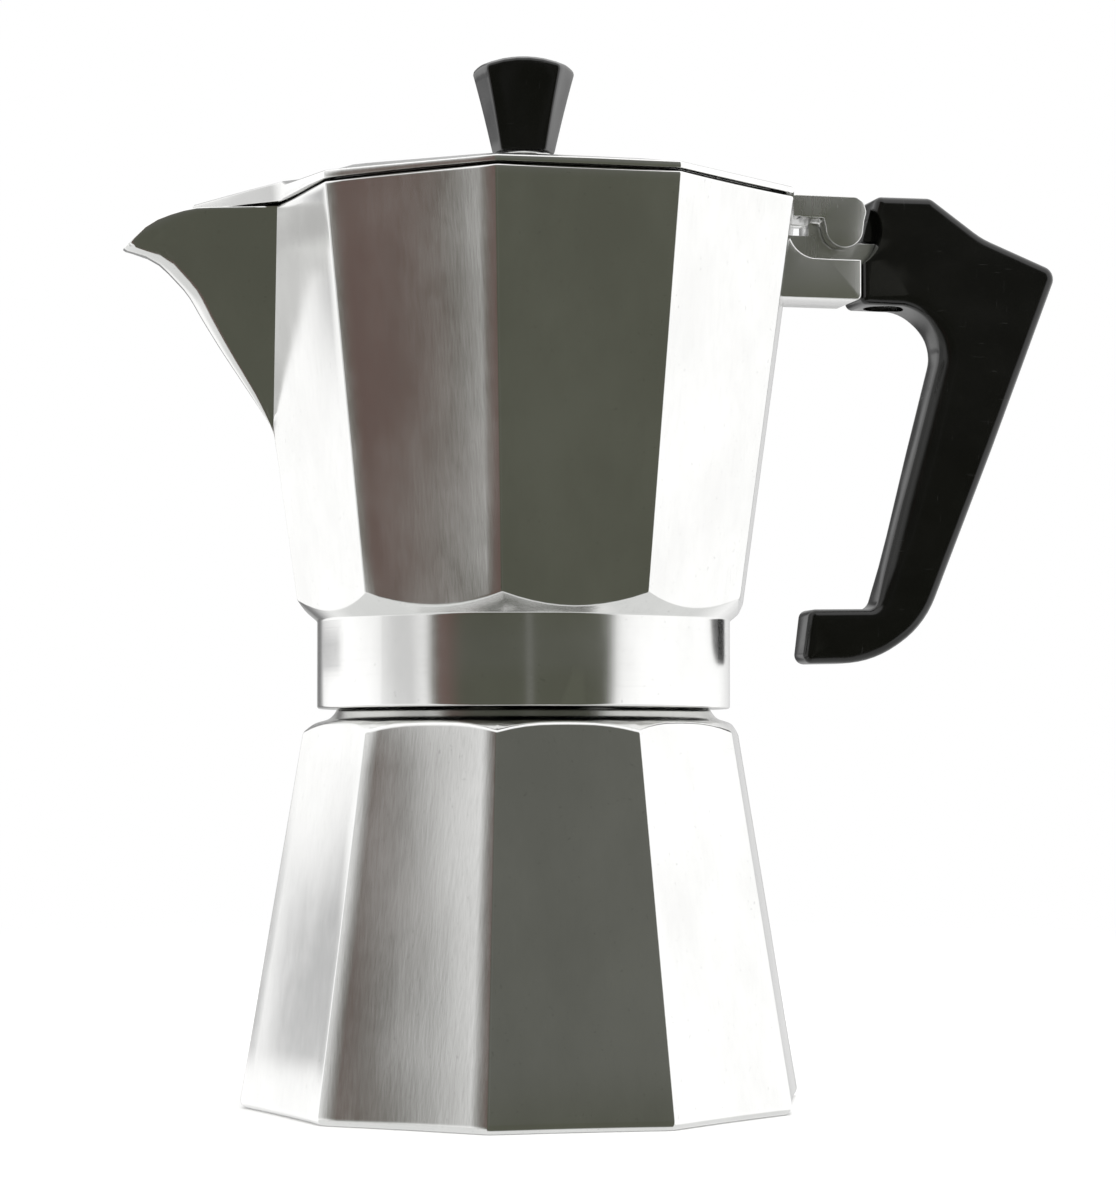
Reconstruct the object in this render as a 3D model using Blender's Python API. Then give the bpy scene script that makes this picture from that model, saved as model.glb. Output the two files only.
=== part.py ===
"""Stovetop moka pot, as an assembly of its real pieces.

Frame: metres, +Z up, origin at the middle of the flat underside.
+X points to the handle, -X to the spout. Lengths below are in millimetres
and are turned into metres when a mesh is made.
"""

import math

import bmesh
import bpy
from mathutils import Matrix, Vector

MM = 0.001

# ---------------------------------------------------------------- driving sizes
SIDES = 10
SEG_ANGLE = 2 * math.pi / SIDES
HALF_COS = math.cos(SEG_ANGLE / 2)

# boiler
BOILER_TURN = math.radians(-1.5)  # where the screwed joint happens to stop
BOILER_R0 = 52.7  # corner radius at the base
BOILER_SLOPE = 0.1705  # loss of corner radius per mm of height
BOILER_WALL = 2.9
BOILER_FLOOR = 3.0
NECK_R = 34.2
NECK_BORE = 31.5
NECK_TOP = 84.0

# collector
COLLAR_R = 38.15
COLLAR_BORE = 34.6
COLLAR_Z0 = 72.5
COLLAR_Z1 = 88.6
CONE_RISE = 0.85
JUG_R0 = 42.4
JUG_Z0 = 92.2
JUG_SLOPE = 0.142
JUG_WALL = 2.2
FLOOR_UNDER = 89.4
FLOOR_TOP = 91.9
FLOOR_HOLE = 6.3

# spout
SPOUT_Z0 = 123.0  # where the keel leaves the corner
SPOUT_SPREAD = 0.35  # distance of the crease from the corner, per mm of height

# hinge
PIN_X, PIN_Z, PIN_R = 60.6, 163.15, 1.5
KNUCKLE_R = 3.7
EAR_IN, EAR_OUT = 3.3, 6.5
TONGUE_HALF = 2.9

# valve
VALVE_ANGLE = math.radians(88.5)
VALVE_Z = 48.0

# knob
KNOB_BOTTOM, KNOB_APEX, KNOB_DOME_R = 175.6, 193.5, 20.0


# ---------------------------------------------------------------- scene helpers
def clear_scene():
    for obj in list(bpy.data.objects):
        bpy.data.objects.remove(obj, do_unlink=True)


def material(name, colour, rough, metal):
    mat = bpy.data.materials.new(name)
    mat.use_nodes = True
    shader = mat.node_tree.nodes["Principled BSDF"]
    shader.inputs["Base Color"].default_value = (*colour, 1.0)
    shader.inputs["Roughness"].default_value = rough
    shader.inputs["Metallic"].default_value = metal
    return mat


def link(name, bm, mat, sharp=30.0):
    bmesh.ops.remove_doubles(bm, verts=bm.verts, dist=1e-7)
    bmesh.ops.recalc_face_normals(bm, faces=bm.faces)
    mesh = bpy.data.meshes.new(name)
    bm.to_mesh(mesh)
    bm.free()
    mesh.shade_smooth()
    mesh.set_sharp_from_angle(angle=math.radians(sharp))
    obj = bpy.data.objects.new(name, mesh)
    bpy.context.scene.collection.objects.link(obj)
    if mat is not None:
        mesh.materials.append(mat)
    return obj


def grid(name, rows, mat, wrap=False, start=None, end=None, sharp=30.0, place=None):
    """Closed skin through rows of points that all go round the same way."""
    bm = bmesh.new()

    def vert(p):
        v = Vector(p) * MM
        return bm.verts.new(place @ v if place else v)

    made = [[vert(p) for p in row] for row in rows]
    n = len(rows[0])
    pairs = list(zip(made, made[1:]))
    if wrap:
        pairs.append((made[-1], made[0]))
    for a, b in pairs:
        for i in range(n):
            j = (i + 1) % n
            bm.faces.new((a[i], a[j], b[j], b[i]))
    for tip, row in ((start, made[0]), (end, made[-1])):
        if tip is not None:
            t = vert(tip)
            for i in range(n):
                bm.faces.new((t, row[i], row[(i + 1) % n]))
    return link(name, bm, mat, sharp)


def lathe(name, profile, mat, n=48, place=None, phase=0.0, sharp=30.0):
    """Turned piece from (radius, height) points. Ends on the axis close it, else it is a ring."""
    start = end = None
    body = list(profile)
    if body[0][0] == 0:
        start = (0, 0, body.pop(0)[1])
    if body[-1][0] == 0:
        end = (0, 0, body.pop()[1])
    rows = [
        [
            (r * math.cos(phase + 2 * math.pi * i / n), r * math.sin(phase + 2 * math.pi * i / n), z)
            for i in range(n)
        ]
        for r, z in body
    ]
    return grid(name, rows, mat, wrap=start is None and end is None, start=start, end=end, sharp=sharp, place=place)


def prism(name, outline, y0, y1, mat, chamfer=0.0, half=None):
    """Closed outline in XZ, extruded along Y, with an optional edge chamfer.

    half, when given, maps a point to the half thickness there, for a tapered piece.
    """
    n = len(outline)

    def inset(amount):
        out = []
        for i in range(n):
            (ax, az), (bx, bz), (cx, cz) = outline[i - 1], outline[i], outline[(i + 1) % n]
            d1 = Vector((bx - ax, bz - az)).normalized()
            d2 = Vector((cx - bx, cz - bz)).normalized()
            normal = Vector((d1.y + d2.y, -(d1.x + d2.x))).normalized()
            out.append((bx - normal.x * amount, bz - normal.y * amount))
        return out

    area = sum(outline[i - 1][0] * outline[i][1] - outline[i][0] * outline[i - 1][1] for i in range(n))
    side = 1 if area > 0 else -1
    inner = inset(side * chamfer) if chamfer else outline
    layers = [(inner, -1, 0.0), (outline, -1, chamfer), (outline, 1, chamfer), (inner, 1, 0.0)]
    if not chamfer:
        layers = [(outline, -1, 0.0), (outline, 1, 0.0)]
    bm = bmesh.new()
    rings = []
    for pts, sign, less in layers:
        ring = []
        for x, z in pts:
            if half:
                y = sign * (half(x, z) - less)
            else:
                y = (y0 + less) if sign < 0 else (y1 - less)
            ring.append(bm.verts.new(Vector((x, y, z)) * MM))
        rings.append(ring)
    for a, b in zip(rings, rings[1:]):
        for i in range(n):
            j = (i + 1) % n
            bm.faces.new((a[i], a[j], b[j], b[i]))
    bm.faces.new(rings[0])
    bm.faces.new(rings[-1])
    return link(name, bm, mat)


def rounded(corners, step=20.0):
    """Outline through (x, z, radius) corners, each turned into an arc."""
    out = []
    n = len(corners)
    for i in range(n):
        a, b, c = (Vector(corners[j][:2]) for j in ((i - 1) % n, i, (i + 1) % n))
        radius = corners[i][2]
        u, v = (a - b).normalized(), (c - b).normalized()
        angle = math.acos(max(-1, min(1, u.dot(v))))
        if radius <= 0 or angle > math.radians(178):
            out.append(tuple(b))
            continue
        reach = radius / math.tan(angle / 2)
        centre = b + (u + v).normalized() * (radius / math.sin(angle / 2))
        p, q = b + u * reach - centre, b + v * reach - centre
        a0 = math.atan2(p.y, p.x)
        turn = math.atan2(q.y, q.x) - a0
        turn = (turn + math.pi) % (2 * math.pi) - math.pi
        steps = max(1, round(abs(math.degrees(turn)) / step))
        for k in range(steps + 1):
            t = a0 + turn * k / steps
            out.append((centre.x + radius * math.cos(t), centre.y + radius * math.sin(t)))
    return out


def boolean(obj, other, operation):
    other.hide_render = True
    other.display_type = "WIRE"
    mod = obj.modifiers.new(operation.lower() + "_" + other.name, "BOOLEAN")
    mod.operation = operation
    mod.solver = "EXACT"
    mod.object = other
    return mod


def parent_at(name, location, children):
    """An empty on a joint's axis that carries the pieces which move with it."""
    empty = bpy.data.objects.new(name, None)
    bpy.context.scene.collection.objects.link(empty)
    empty.location = Vector(location) * MM
    bpy.context.view_layer.update()
    for child in children:
        child.parent = empty
        child.matrix_parent_inverse = empty.matrix_world.inverted()
    return empty


# ---------------------------------------------------------------- ten-sided columns
def facet_columns(turn, shares):
    """(direction of the column, corner share) for each column round a ten-sided body."""
    out = []
    for k in range(SIDES):
        a = Vector((math.cos(turn + k * SEG_ANGLE), math.sin(turn + k * SEG_ANGLE)))
        b = Vector((math.cos(turn + (k + 1) * SEG_ANGLE), math.sin(turn + (k + 1) * SEG_ANGLE)))
        for u in shares:
            p = a.lerp(b, u)
            out.append((p.normalized(), p.length))
    return out


def solve(f, lo, hi):
    for _ in range(40):
        mid = (lo + hi) / 2
        if f(mid) > 0:
            hi = mid
        else:
            lo = mid
    return (lo + hi) / 2


# ---------------------------------------------------------------- boiler
def boiler_r(z):
    return BOILER_R0 - BOILER_SLOPE * z


SHOULDER = [(44.0, 65.6), (41.25, 67.95), (39.0, 69.6), (37.6, 70.1), (36.2, 70.5), (35.2, 71.2), (34.7, 72.1)]


def shoulder_r(z):
    """Radius of the turned shoulder at a height."""
    for (r0, z0), (r1, z1) in zip(SHOULDER, SHOULDER[1:]):
        if z <= z1:
            return r0 + (r1 - r0) * (z - z0) / (z1 - z0)
    return SHOULDER[-1][0]


def make_boiler(mat):
    columns = facet_columns(BOILER_TURN, (0.0, 0.25, 0.5, 0.75))

    def facets(z, less=0.0):
        return [(d.x * (boiler_r(z) * c - less), d.y * (boiler_r(z) * c - less), z) for d, c in columns]

    def circle(r, z):
        return [(d.x * r, d.y * r, z) for d, _ in columns]

    top = []
    for d, c in columns:
        z = solve(lambda h: boiler_r(h) * c - shoulder_r(h), 66.0, 72.0)
        r = boiler_r(z) * c
        top.append((d.x * r, d.y * r, z))
    rows = [
        [(x * 0.968, y * 0.968, 0.0) for x, y, _ in facets(0.0)],
        facets(1.6),
        facets(30.0),
        top,
        circle(37.6, 70.1),
        circle(36.2, 70.5),
        circle(35.2, 71.2),
        circle(34.7, 72.1),
        circle(NECK_R, 72.6),
        circle(NECK_R, NECK_TOP - 0.5),
        circle(NECK_R - 0.5, NECK_TOP),
        circle(NECK_BORE + 0.4, NECK_TOP),
        circle(NECK_BORE, NECK_TOP - 0.4),
        circle(NECK_BORE, 71.0),
        facets(65.0, BOILER_WALL + 0.4),
        facets(30.0, BOILER_WALL),
        facets(7.0, BOILER_WALL + 0.4),
        [(d.x * (boiler_r(3) * c - 6.5), d.y * (boiler_r(3) * c - 6.5), BOILER_FLOOR) for d, c in columns],
    ]
    return grid("boiler", rows, mat, start=(0, 0, 0), end=(0, 0, BOILER_FLOOR), sharp=12.0)


# ---------------------------------------------------------------- valve
def valve_place():
    """Matrix that takes +Z to the valve's axis, out of the boiler's wall."""
    tilt = math.atan(BOILER_SLOPE * HALF_COS)
    axis = Vector(
        (math.cos(VALVE_ANGLE) * math.cos(tilt), math.sin(VALVE_ANGLE) * math.cos(tilt), math.sin(tilt))
    )
    r = boiler_r(VALVE_Z) * HALF_COS
    point = Vector((r * math.cos(VALVE_ANGLE), r * math.sin(VALVE_ANGLE), VALVE_Z)) * MM
    turn = Vector((0, 0, 1)).rotation_difference(axis).to_matrix().to_4x4()
    turn.translation = point
    return turn


def make_valve(brass, steel, rubber):
    place = valve_place()
    # body: hexagon outside, round shank through the wall
    n = 24

    def round_row(r, s):
        return [(r * math.cos(2 * math.pi * i / n), r * math.sin(2 * math.pi * i / n), s) for i in range(n)]

    def hex_row(flat, s):
        row = []
        for i in range(n):
            t = 2 * math.pi * i / n
            off = (t + math.pi / 6) % (math.pi / 3) - math.pi / 6
            r = flat / math.cos(off)
            row.append((r * math.cos(t), r * math.sin(t), s))
        return row

    rows = [
        round_row(3.4, -6.0),
        round_row(5.0, -6.0),
        round_row(5.0, 1.5),
        hex_row(6.2, 1.5),
        hex_row(6.5, 1.9),
        hex_row(6.5, 5.6),
        hex_row(6.0, 6.2),
        round_row(1.75, 6.2),
        round_row(1.75, 4.4),
        round_row(3.4, 4.4),
    ]
    body = grid("valve_body", rows, brass, wrap=True, place=place)
    gasket = lathe("valve_gasket", [(5.3, 0.3), (7.0, 0.3), (7.0, 1.2), (5.3, 1.2)], rubber, 24, place)
    seat = lathe("valve_seat", [(1.5, -5.7), (3.1, -5.7), (3.1, -4.6), (1.5, -4.6)], brass, 24, place)
    pin = lathe(
        "valve_pin",
        [(0, -4.3), (2.2, -4.3), (2.6, -3.9), (2.6, -3.3), (1.4, -3.1), (1.4, 7.2), (1.1, 7.6), (0, 7.6)],
        steel,
        18,
        place,
    )
    # coil spring between the plunger's head and the body's shoulder
    turns, per, wire, radius, s0, s1 = 5, 10, 0.32, 2.35, -2.6, 3.8
    coil = []
    for i in range(turns * per + 1):
        t = 2 * math.pi * i / per
        s = s0 + (s1 - s0) * i / (turns * per)
        out = Vector((math.cos(t), math.sin(t), 0))
        coil.append(
            [
                tuple(out * (radius + wire * math.cos(2 * math.pi * j / 6)) + Vector((0, 0, s + wire * math.sin(2 * math.pi * j / 6))))
                for j in range(6)
            ]
        )
    first = Vector(sum((Vector(p) for p in coil[0]), Vector()) / 6)
    last = Vector(sum((Vector(p) for p in coil[-1]), Vector()) / 6)
    spring = grid("valve_spring", coil, steel, start=tuple(first), end=tuple(last), place=place)
    cutter = lathe("cut_valve_hole", [(0, -9.0), (5.3, -9.0), (5.3, 4.0), (0, 4.0)], None, 24, place)
    return body, gasket, seat, pin, spring, cutter


# ---------------------------------------------------------------- funnel, screens and seal
def hole_cutter(name, z0, z1, hole, ring_step, rings):
    """One mesh of six-sided punches on rings of 6, 12, 18 holes."""
    bm = bmesh.new()
    spots = [(0.0, 0.0)]
    for k in range(1, rings + 1):
        for i in range(6 * k):
            t = 2 * math.pi * i / (6 * k)
            spots.append((k * ring_step * math.cos(t), k * ring_step * math.sin(t)))
    for x, y in spots:
        lower = [
            bm.verts.new(Vector((x + hole * math.cos(math.pi * j / 3), y + hole * math.sin(math.pi * j / 3), z0)) * MM)
            for j in range(6)
        ]
        upper = [bm.verts.new(v.co + Vector((0, 0, (z1 - z0) * MM))) for v in lower]
        bm.faces.new(lower[::-1])
        bm.faces.new(upper)
        for j in range(6):
            k2 = (j + 1) % 6
            bm.faces.new((lower[j], lower[k2], upper[k2], upper[j]))
    return link(name, bm, None)


def make_funnel(alu, steel, rubber):
    basket = lathe(
        "funnel_basket",
        [
            (31.0, 84.3), (34.0, 84.3), (34.0, 85.2), (30.6, 85.2), (30.2, 84.6), (30.2, 60.4), (29.2, 59.4),
            (7.2, 51.6), (5.2, 50.4), (5.2, 44.0), (6.1, 44.0), (6.1, 50.0), (7.6, 50.9), (29.6, 58.6), (31.0, 60.0),
        ],
        alu,
        48,
    )
    stem = lathe(
        "funnel_stem",
        [(4.1, 6.5), (4.9, 6.5), (4.9, 49.6), (4.1, 49.6)],
        alu,
        24,
    )
    screen = lathe("funnel_screen", [(0, 60.7), (29.8, 60.7), (29.8, 61.6), (0, 61.6)], alu, 48)
    boolean(screen, hole_cutter("cut_screen", 60.0, 62.3, 0.9, 8.0, 3), "DIFFERENCE")
    gasket = lathe(
        "gasket",
        [(27.6, 85.5), (34.0, 85.5), (34.2, 85.8), (34.2, 87.8), (34.0, 88.1), (27.6, 88.1), (27.3, 87.8), (27.3, 85.8)],
        rubber,
        48,
    )
    plate = lathe("filter_plate", [(0, 88.4), (33.6, 88.4), (33.6, 89.1), (0, 89.1)], alu, 48)
    boolean(plate, hole_cutter("cut_plate", 87.8, 89.7, 0.9, 8.0, 3), "DIFFERENCE")
    return basket, stem, screen, gasket, plate


# ---------------------------------------------------------------- collector
def jug_r(z):
    return JUG_R0 + JUG_SLOPE * (z - JUG_Z0)


KEEL = [(123.0, 46.8), (123.9, 47.3), (130.7, 51.8), (137.9, 56.65), (143.0, 59.85), (147.5, 62.6), (150.1, 65.0), (152.9, 68.1), (154.4, 71.3), (155.0, 74.0), (156.0, 74.9), (166.0, 76.0)]
LIP = [(0.0, 164.2), (16.0, 164.1), (42.5, 163.4), (48.5, 162.0), (61.0, 162.1), (67.1, 160.8), (70.6, 159.0), (73.1, 156.6), (74.9, 155.0), (80.0, 150.0)]


def table(points, x):
    if x <= points[0][0]:
        return points[0][1]
    for (x0, y0), (x1, y1) in zip(points, points[1:]):
        if x <= x1:
            return y0 + (y1 - y0) * (x - x0) / (x1 - x0)
    return points[-1][1]


def keel_round(z):
    return 0.9 + 2.8 * max(0.0, min(1.0, (z - SPOUT_Z0) / 26.0))


def spout_section(z, wall):
    """Half of the horizontal section on the +Y side: from the next corner to the keel.

    Returned as (corner, crease, [points from the crease to the keel]); wall is the inward offset.
    """
    r = jug_r(z)
    corner = Vector((-r * math.cos(SEG_ANGLE), r * math.sin(SEG_ANGLE)))
    tip = Vector((-r, 0.0))
    along = (corner - tip).normalized()
    inward = Vector((-along.y, along.x))
    if inward.dot(-tip) < 0:
        inward = -inward
    spread = SPOUT_SPREAD * (z - SPOUT_Z0)
    keel = table(KEEL, z)
    if spread < 0.25:
        shift = wall / HALF_COS
        corner_in = corner * ((r - shift) / r)
        tip_in = tip * ((r - shift) / r)
        return corner_in, None, [corner_in, tip_in]
    crease = tip + along * spread
    radius = min(keel_round(z), 0.4 * (Vector((-keel, 0.0)) - crease).length)
    centre = Vector((-(keel - radius), 0.0))
    # tangent from the crease to the keel's rounding
    to_c = centre - crease
    dist = to_c.length
    a = math.asin(radius / dist)
    base = math.atan2(to_c.y, to_c.x)
    best = None
    for sign in (1, -1):
        direction = Vector((math.cos(base + sign * a), math.sin(base + sign * a)))
        touch = crease + direction * math.sqrt(dist * dist - radius * radius)
        if best is None or touch.y > best[1].y:
            best = (direction, touch)
    direction, touch = best
    normal_in = Vector((-direction.y, direction.x))
    if normal_in.dot(centre - touch) < 0:
        normal_in = -normal_in
    if wall:
        # creases of the offset lines
        p = tip + inward * wall
        q = touch + normal_in * wall
        det = along.x * (-direction.y) - along.y * (-direction.x)
        rhs = q - p
        t = (rhs.x * (-direction.y) - rhs.y * (-direction.x)) / det
        crease_in = p + along * t
        corner_in = corner * ((r - wall / HALF_COS) / r)
        rad_in = radius - wall
        if rad_in > 0.3:
            touch_in = q
            points = arc_to_front(touch_in, centre, rad_in)
        else:
            t2 = -q.y / direction.y
            points = [q + direction * t2]
        return corner_in, crease_in, [crease_in] + points
    return corner, crease, [crease] + arc_to_front(touch, centre, radius)


def arc_to_front(touch, centre, radius):
    a0 = math.atan2(touch.y - centre.y, touch.x - centre.x)
    return [
        centre + Vector((math.cos(a0 + (math.pi - a0) * k / 4), math.sin(a0 + (math.pi - a0) * k / 4))) * radius
        for k in range(5)
    ]


def along_path(points, share):
    lengths = [(b - a).length for a, b in zip(points, points[1:])]
    total = sum(lengths)
    want = share * total
    for a, b, length in zip(points, points[1:], lengths):
        if want <= length or (a is points[-2]):
            return a.lerp(b, min(1.0, want / length if length else 0.0))
        want -= length
    return points[-1]


FACET_SHARES = (0.0, 0.25, 0.5, 0.75)
SPOUT_SHARES = (0.0, 0.3, 0.6, 0.8, 0.9, 1.0)  # from the crease to the keel
LOW_CREASE = 0.09  # share of the facet kept for the spout's columns below the spout


def spout_point(kind, share, z, wall):
    """A point of the half section: kind facet (corner to crease) or spout (crease to keel)."""
    corner, crease, path = spout_section(z, wall)
    if crease is None:
        a, b = path
        crease = b.lerp(a, LOW_CREASE)
        path = [crease, b]
    else:
        width = (corner - Vector((-(jug_r(z) - wall / HALF_COS), 0))).length
        if (crease - corner).length > (1 - LOW_CREASE) * width:
            crease2 = Vector((-(jug_r(z) - wall / HALF_COS), 0)).lerp(corner, LOW_CREASE)
            path = [crease2] + path
            crease = crease2
    if kind == "facet":
        return corner.lerp(crease, share)
    return along_path(path, share)


def jug_columns():
    """Every column of the jug as a function of (height, inward offset)."""
    columns = []

    def plain(k, u):
        a = Vector((math.cos(k * SEG_ANGLE), math.sin(k * SEG_ANGLE)))
        b = Vector((math.cos((k + 1) * SEG_ANGLE), math.sin((k + 1) * SEG_ANGLE)))
        p = a.lerp(b, u)
        return lambda z, wall: p * (jug_r(z) - wall / HALF_COS)

    for k in range(4):
        for u in FACET_SHARES:
            columns.append(plain(k, u))
    for u in (0.0, 0.33, 0.67):
        columns.append(lambda z, wall, u=u: spout_point("facet", u, z, wall))
    for s in SPOUT_SHARES:
        columns.append(lambda z, wall, s=s: spout_point("spout", s, z, wall))

    def mirrored(f):
        def g(z, wall):
            p = f(z, wall)
            return Vector((p.x, -p.y))

        return g

    for s in SPOUT_SHARES[-2::-1]:
        columns.append(mirrored(lambda z, wall, s=s: spout_point("spout", s, z, wall)))
    for u in (0.67, 0.33):
        columns.append(mirrored(lambda z, wall, u=u: spout_point("facet", u, z, wall)))
    for k in range(6, 10):
        for u in FACET_SHARES:
            columns.append(plain(k, u))
    return columns


def make_collector(mat):
    columns = jug_columns()
    low = [c(JUG_Z0, 0.0) for c in columns]
    directions = [p.normalized() for p in low]
    shares = [p.length / JUG_R0 for p in low]

    tops = []
    for c in columns:
        tops.append(solve(lambda z: z - table(LIP, max(0.0, -c(z, 0.0).x)), 150.0, 166.0))

    def circle(r, z):
        return [(d.x * r, d.y * r, z) for d in directions]

    def facets(z, wall=0.0):
        return [(*c(z, wall), z) for c in columns]

    scallop = []
    for d, s in zip(directions, shares):
        z = solve(lambda h: (h - COLLAR_Z1) - CONE_RISE * (jug_r(h) * s - COLLAR_R), 86.0, 98.0)
        r = jug_r(z) * s
        scallop.append((d.x * r, d.y * r, z))

    z_a = 121.0
    up = (0.0, 0.12, 0.26, 0.40, 0.54, 0.67, 0.79, 0.90, 1.0)

    def band(t, wall):
        row = []
        for c, top in zip(columns, tops):
            z = z_a + (top - z_a) * t
            p = c(z - (1.4 if wall else 0.0), wall)
            row.append((p.x, p.y, z))
        return row

    inner = 1.85
    rows = [
        circle(COLLAR_BORE + 0.4, COLLAR_Z0),
        circle(COLLAR_R - 0.5, COLLAR_Z0),
        circle(COLLAR_R, COLLAR_Z0 + 0.5),
        circle(COLLAR_R, COLLAR_Z1),
        scallop,
        facets(106.0),
    ]
    rows += [band(t, 0.0) for t in up]
    rows += [band(t, inner) for t in up[::-1]]
    rows += [
        facets(97.0, JUG_WALL),
        [(p.x, p.y, 93.2) for p in (c(94.0, JUG_WALL + 0.6) for c in columns)],
        [(p.x, p.y, FLOOR_TOP) for p in (c(93.0, JUG_WALL + 2.2) for c in columns)],
        circle(14.0, FLOOR_TOP),
        circle(FLOOR_HOLE, FLOOR_TOP),
        circle(FLOOR_HOLE, FLOOR_UNDER),
        circle(20.0, FLOOR_UNDER),
        circle(COLLAR_BORE, FLOOR_UNDER),
        circle(COLLAR_BORE, COLLAR_Z0 + 0.4),
    ]
    jug = grid("collector", rows, mat, wrap=True, sharp=12.0)

    # hinge bracket: a block behind the rim with two cradles and a middle tongue
    def wall_x(z, y):
        return jug_r(z) - abs(y) * math.tan(SEG_ANGLE / 2) - 1.2

    cradle = [(63.9, 157.3), (57.6, 157.3)]
    for k in range(1, 6):
        t = math.radians(-90 - 16 * k)
        cradle.append((57.2 + 5.6 * math.cos(t), 162.9 + 5.6 * math.sin(t)))
    heights = [162.6, 158.0, 149.7]
    right = [(62.8, 149.7), (63.9, 150.6)]
    bm = bmesh.new()
    rings = []
    for y in (-EAR_OUT, 0.0, EAR_OUT):
        ring = []
        for x, z in cradle:
            ring.append((x, z))
        for z in heights:
            ring.append((wall_x(z, y), z))
        for x, z in right:
            ring.append((x, z))
        rings.append([bm.verts.new(Vector((x, y, z)) * MM) for x, z in ring])
    n = len(rings[0])
    for a, b in zip(rings, rings[1:]):
        for i in range(n):
            j = (i + 1) % n
            bm.faces.new((a[i], a[j], b[j], b[i]))
    bm.faces.new(rings[0])
    bm.faces.new(rings[-1])
    bracket = link("add_bracket", bm, None)

    # tongue that carries the pin, and the tang that the handle is screwed to
    tongue = [(PIN_X + KNUCKLE_R * math.cos(math.radians(a)), PIN_Z + KNUCKLE_R * math.sin(math.radians(a))) for a in range(0, 181, 20)]
    tongue += [(PIN_X - KNUCKLE_R, 153.0), (61.0, 153.0), (61.0, 155.0), (73.6, 155.0), (73.6, 161.0), (64.6, 161.0)]
    tongue = [(x, z) for x, z in tongue]
    tongue_obj = prism("add_tongue", tongue, -TONGUE_HALF, TONGUE_HALF, None)
    pin_hole = lathe("cut_pin_hole", [(0, -8.0), (PIN_R + 0.06, -8.0), (PIN_R + 0.06, 8.0), (0, 8.0)], None, 24, y_axis_place(PIN_X, 0.0, PIN_Z))
    screw_hole = lathe("cut_tang_hole", [(0, 154.0), (2.2, 154.0), (2.2, 160.0), (0, 160.0)], None, 24, z_axis_place(70.4, 0.0))
    boolean(jug, bracket, "UNION")
    boolean(jug, tongue_obj, "UNION")
    boolean(jug, pin_hole, "DIFFERENCE")
    boolean(jug, screw_hole, "DIFFERENCE")
    return jug


def y_axis_place(x, y, z):
    turn = Matrix.Rotation(math.radians(-90), 4, "X")
    turn.translation = Vector((x, y, z)) * MM
    return turn


def z_axis_place(x, y):
    return Matrix.Translation(Vector((x, y, 0)) * MM)


def make_column(mat):
    col = lathe(
        "column",
        [
            (0, 138.0), (2.6, 137.4), (3.8, 135.6), (3.8, 89.7), (6.0, 89.7), (6.0, 92.2), (9.0, 92.2), (9.0, 93.4),
            (7.6, 95.0), (6.0, 128.0), (5.9, 137.0), (4.8, 140.0), (2.6, 141.6), (0, 142.0),
        ],
        mat,
        24,
    )
    bm = bmesh.new()
    bmesh.ops.create_cube(bm, size=1.0)
    for v in bm.verts:
        v.co = Vector((v.co.x * 4.6, v.co.y * 20.0, 133.2 + v.co.z * 4.8)) * MM
    window = link("cut_window", bm, None)
    boolean(col, window, "DIFFERENCE")
    return col


# ---------------------------------------------------------------- lid, knob and hinge
LID_R = 52.7
LID_APEX = 174.0
BEAK_TIP = 61.6
BEAK_SHARE = 0.523  # where the beak's edge leaves the facet


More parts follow.
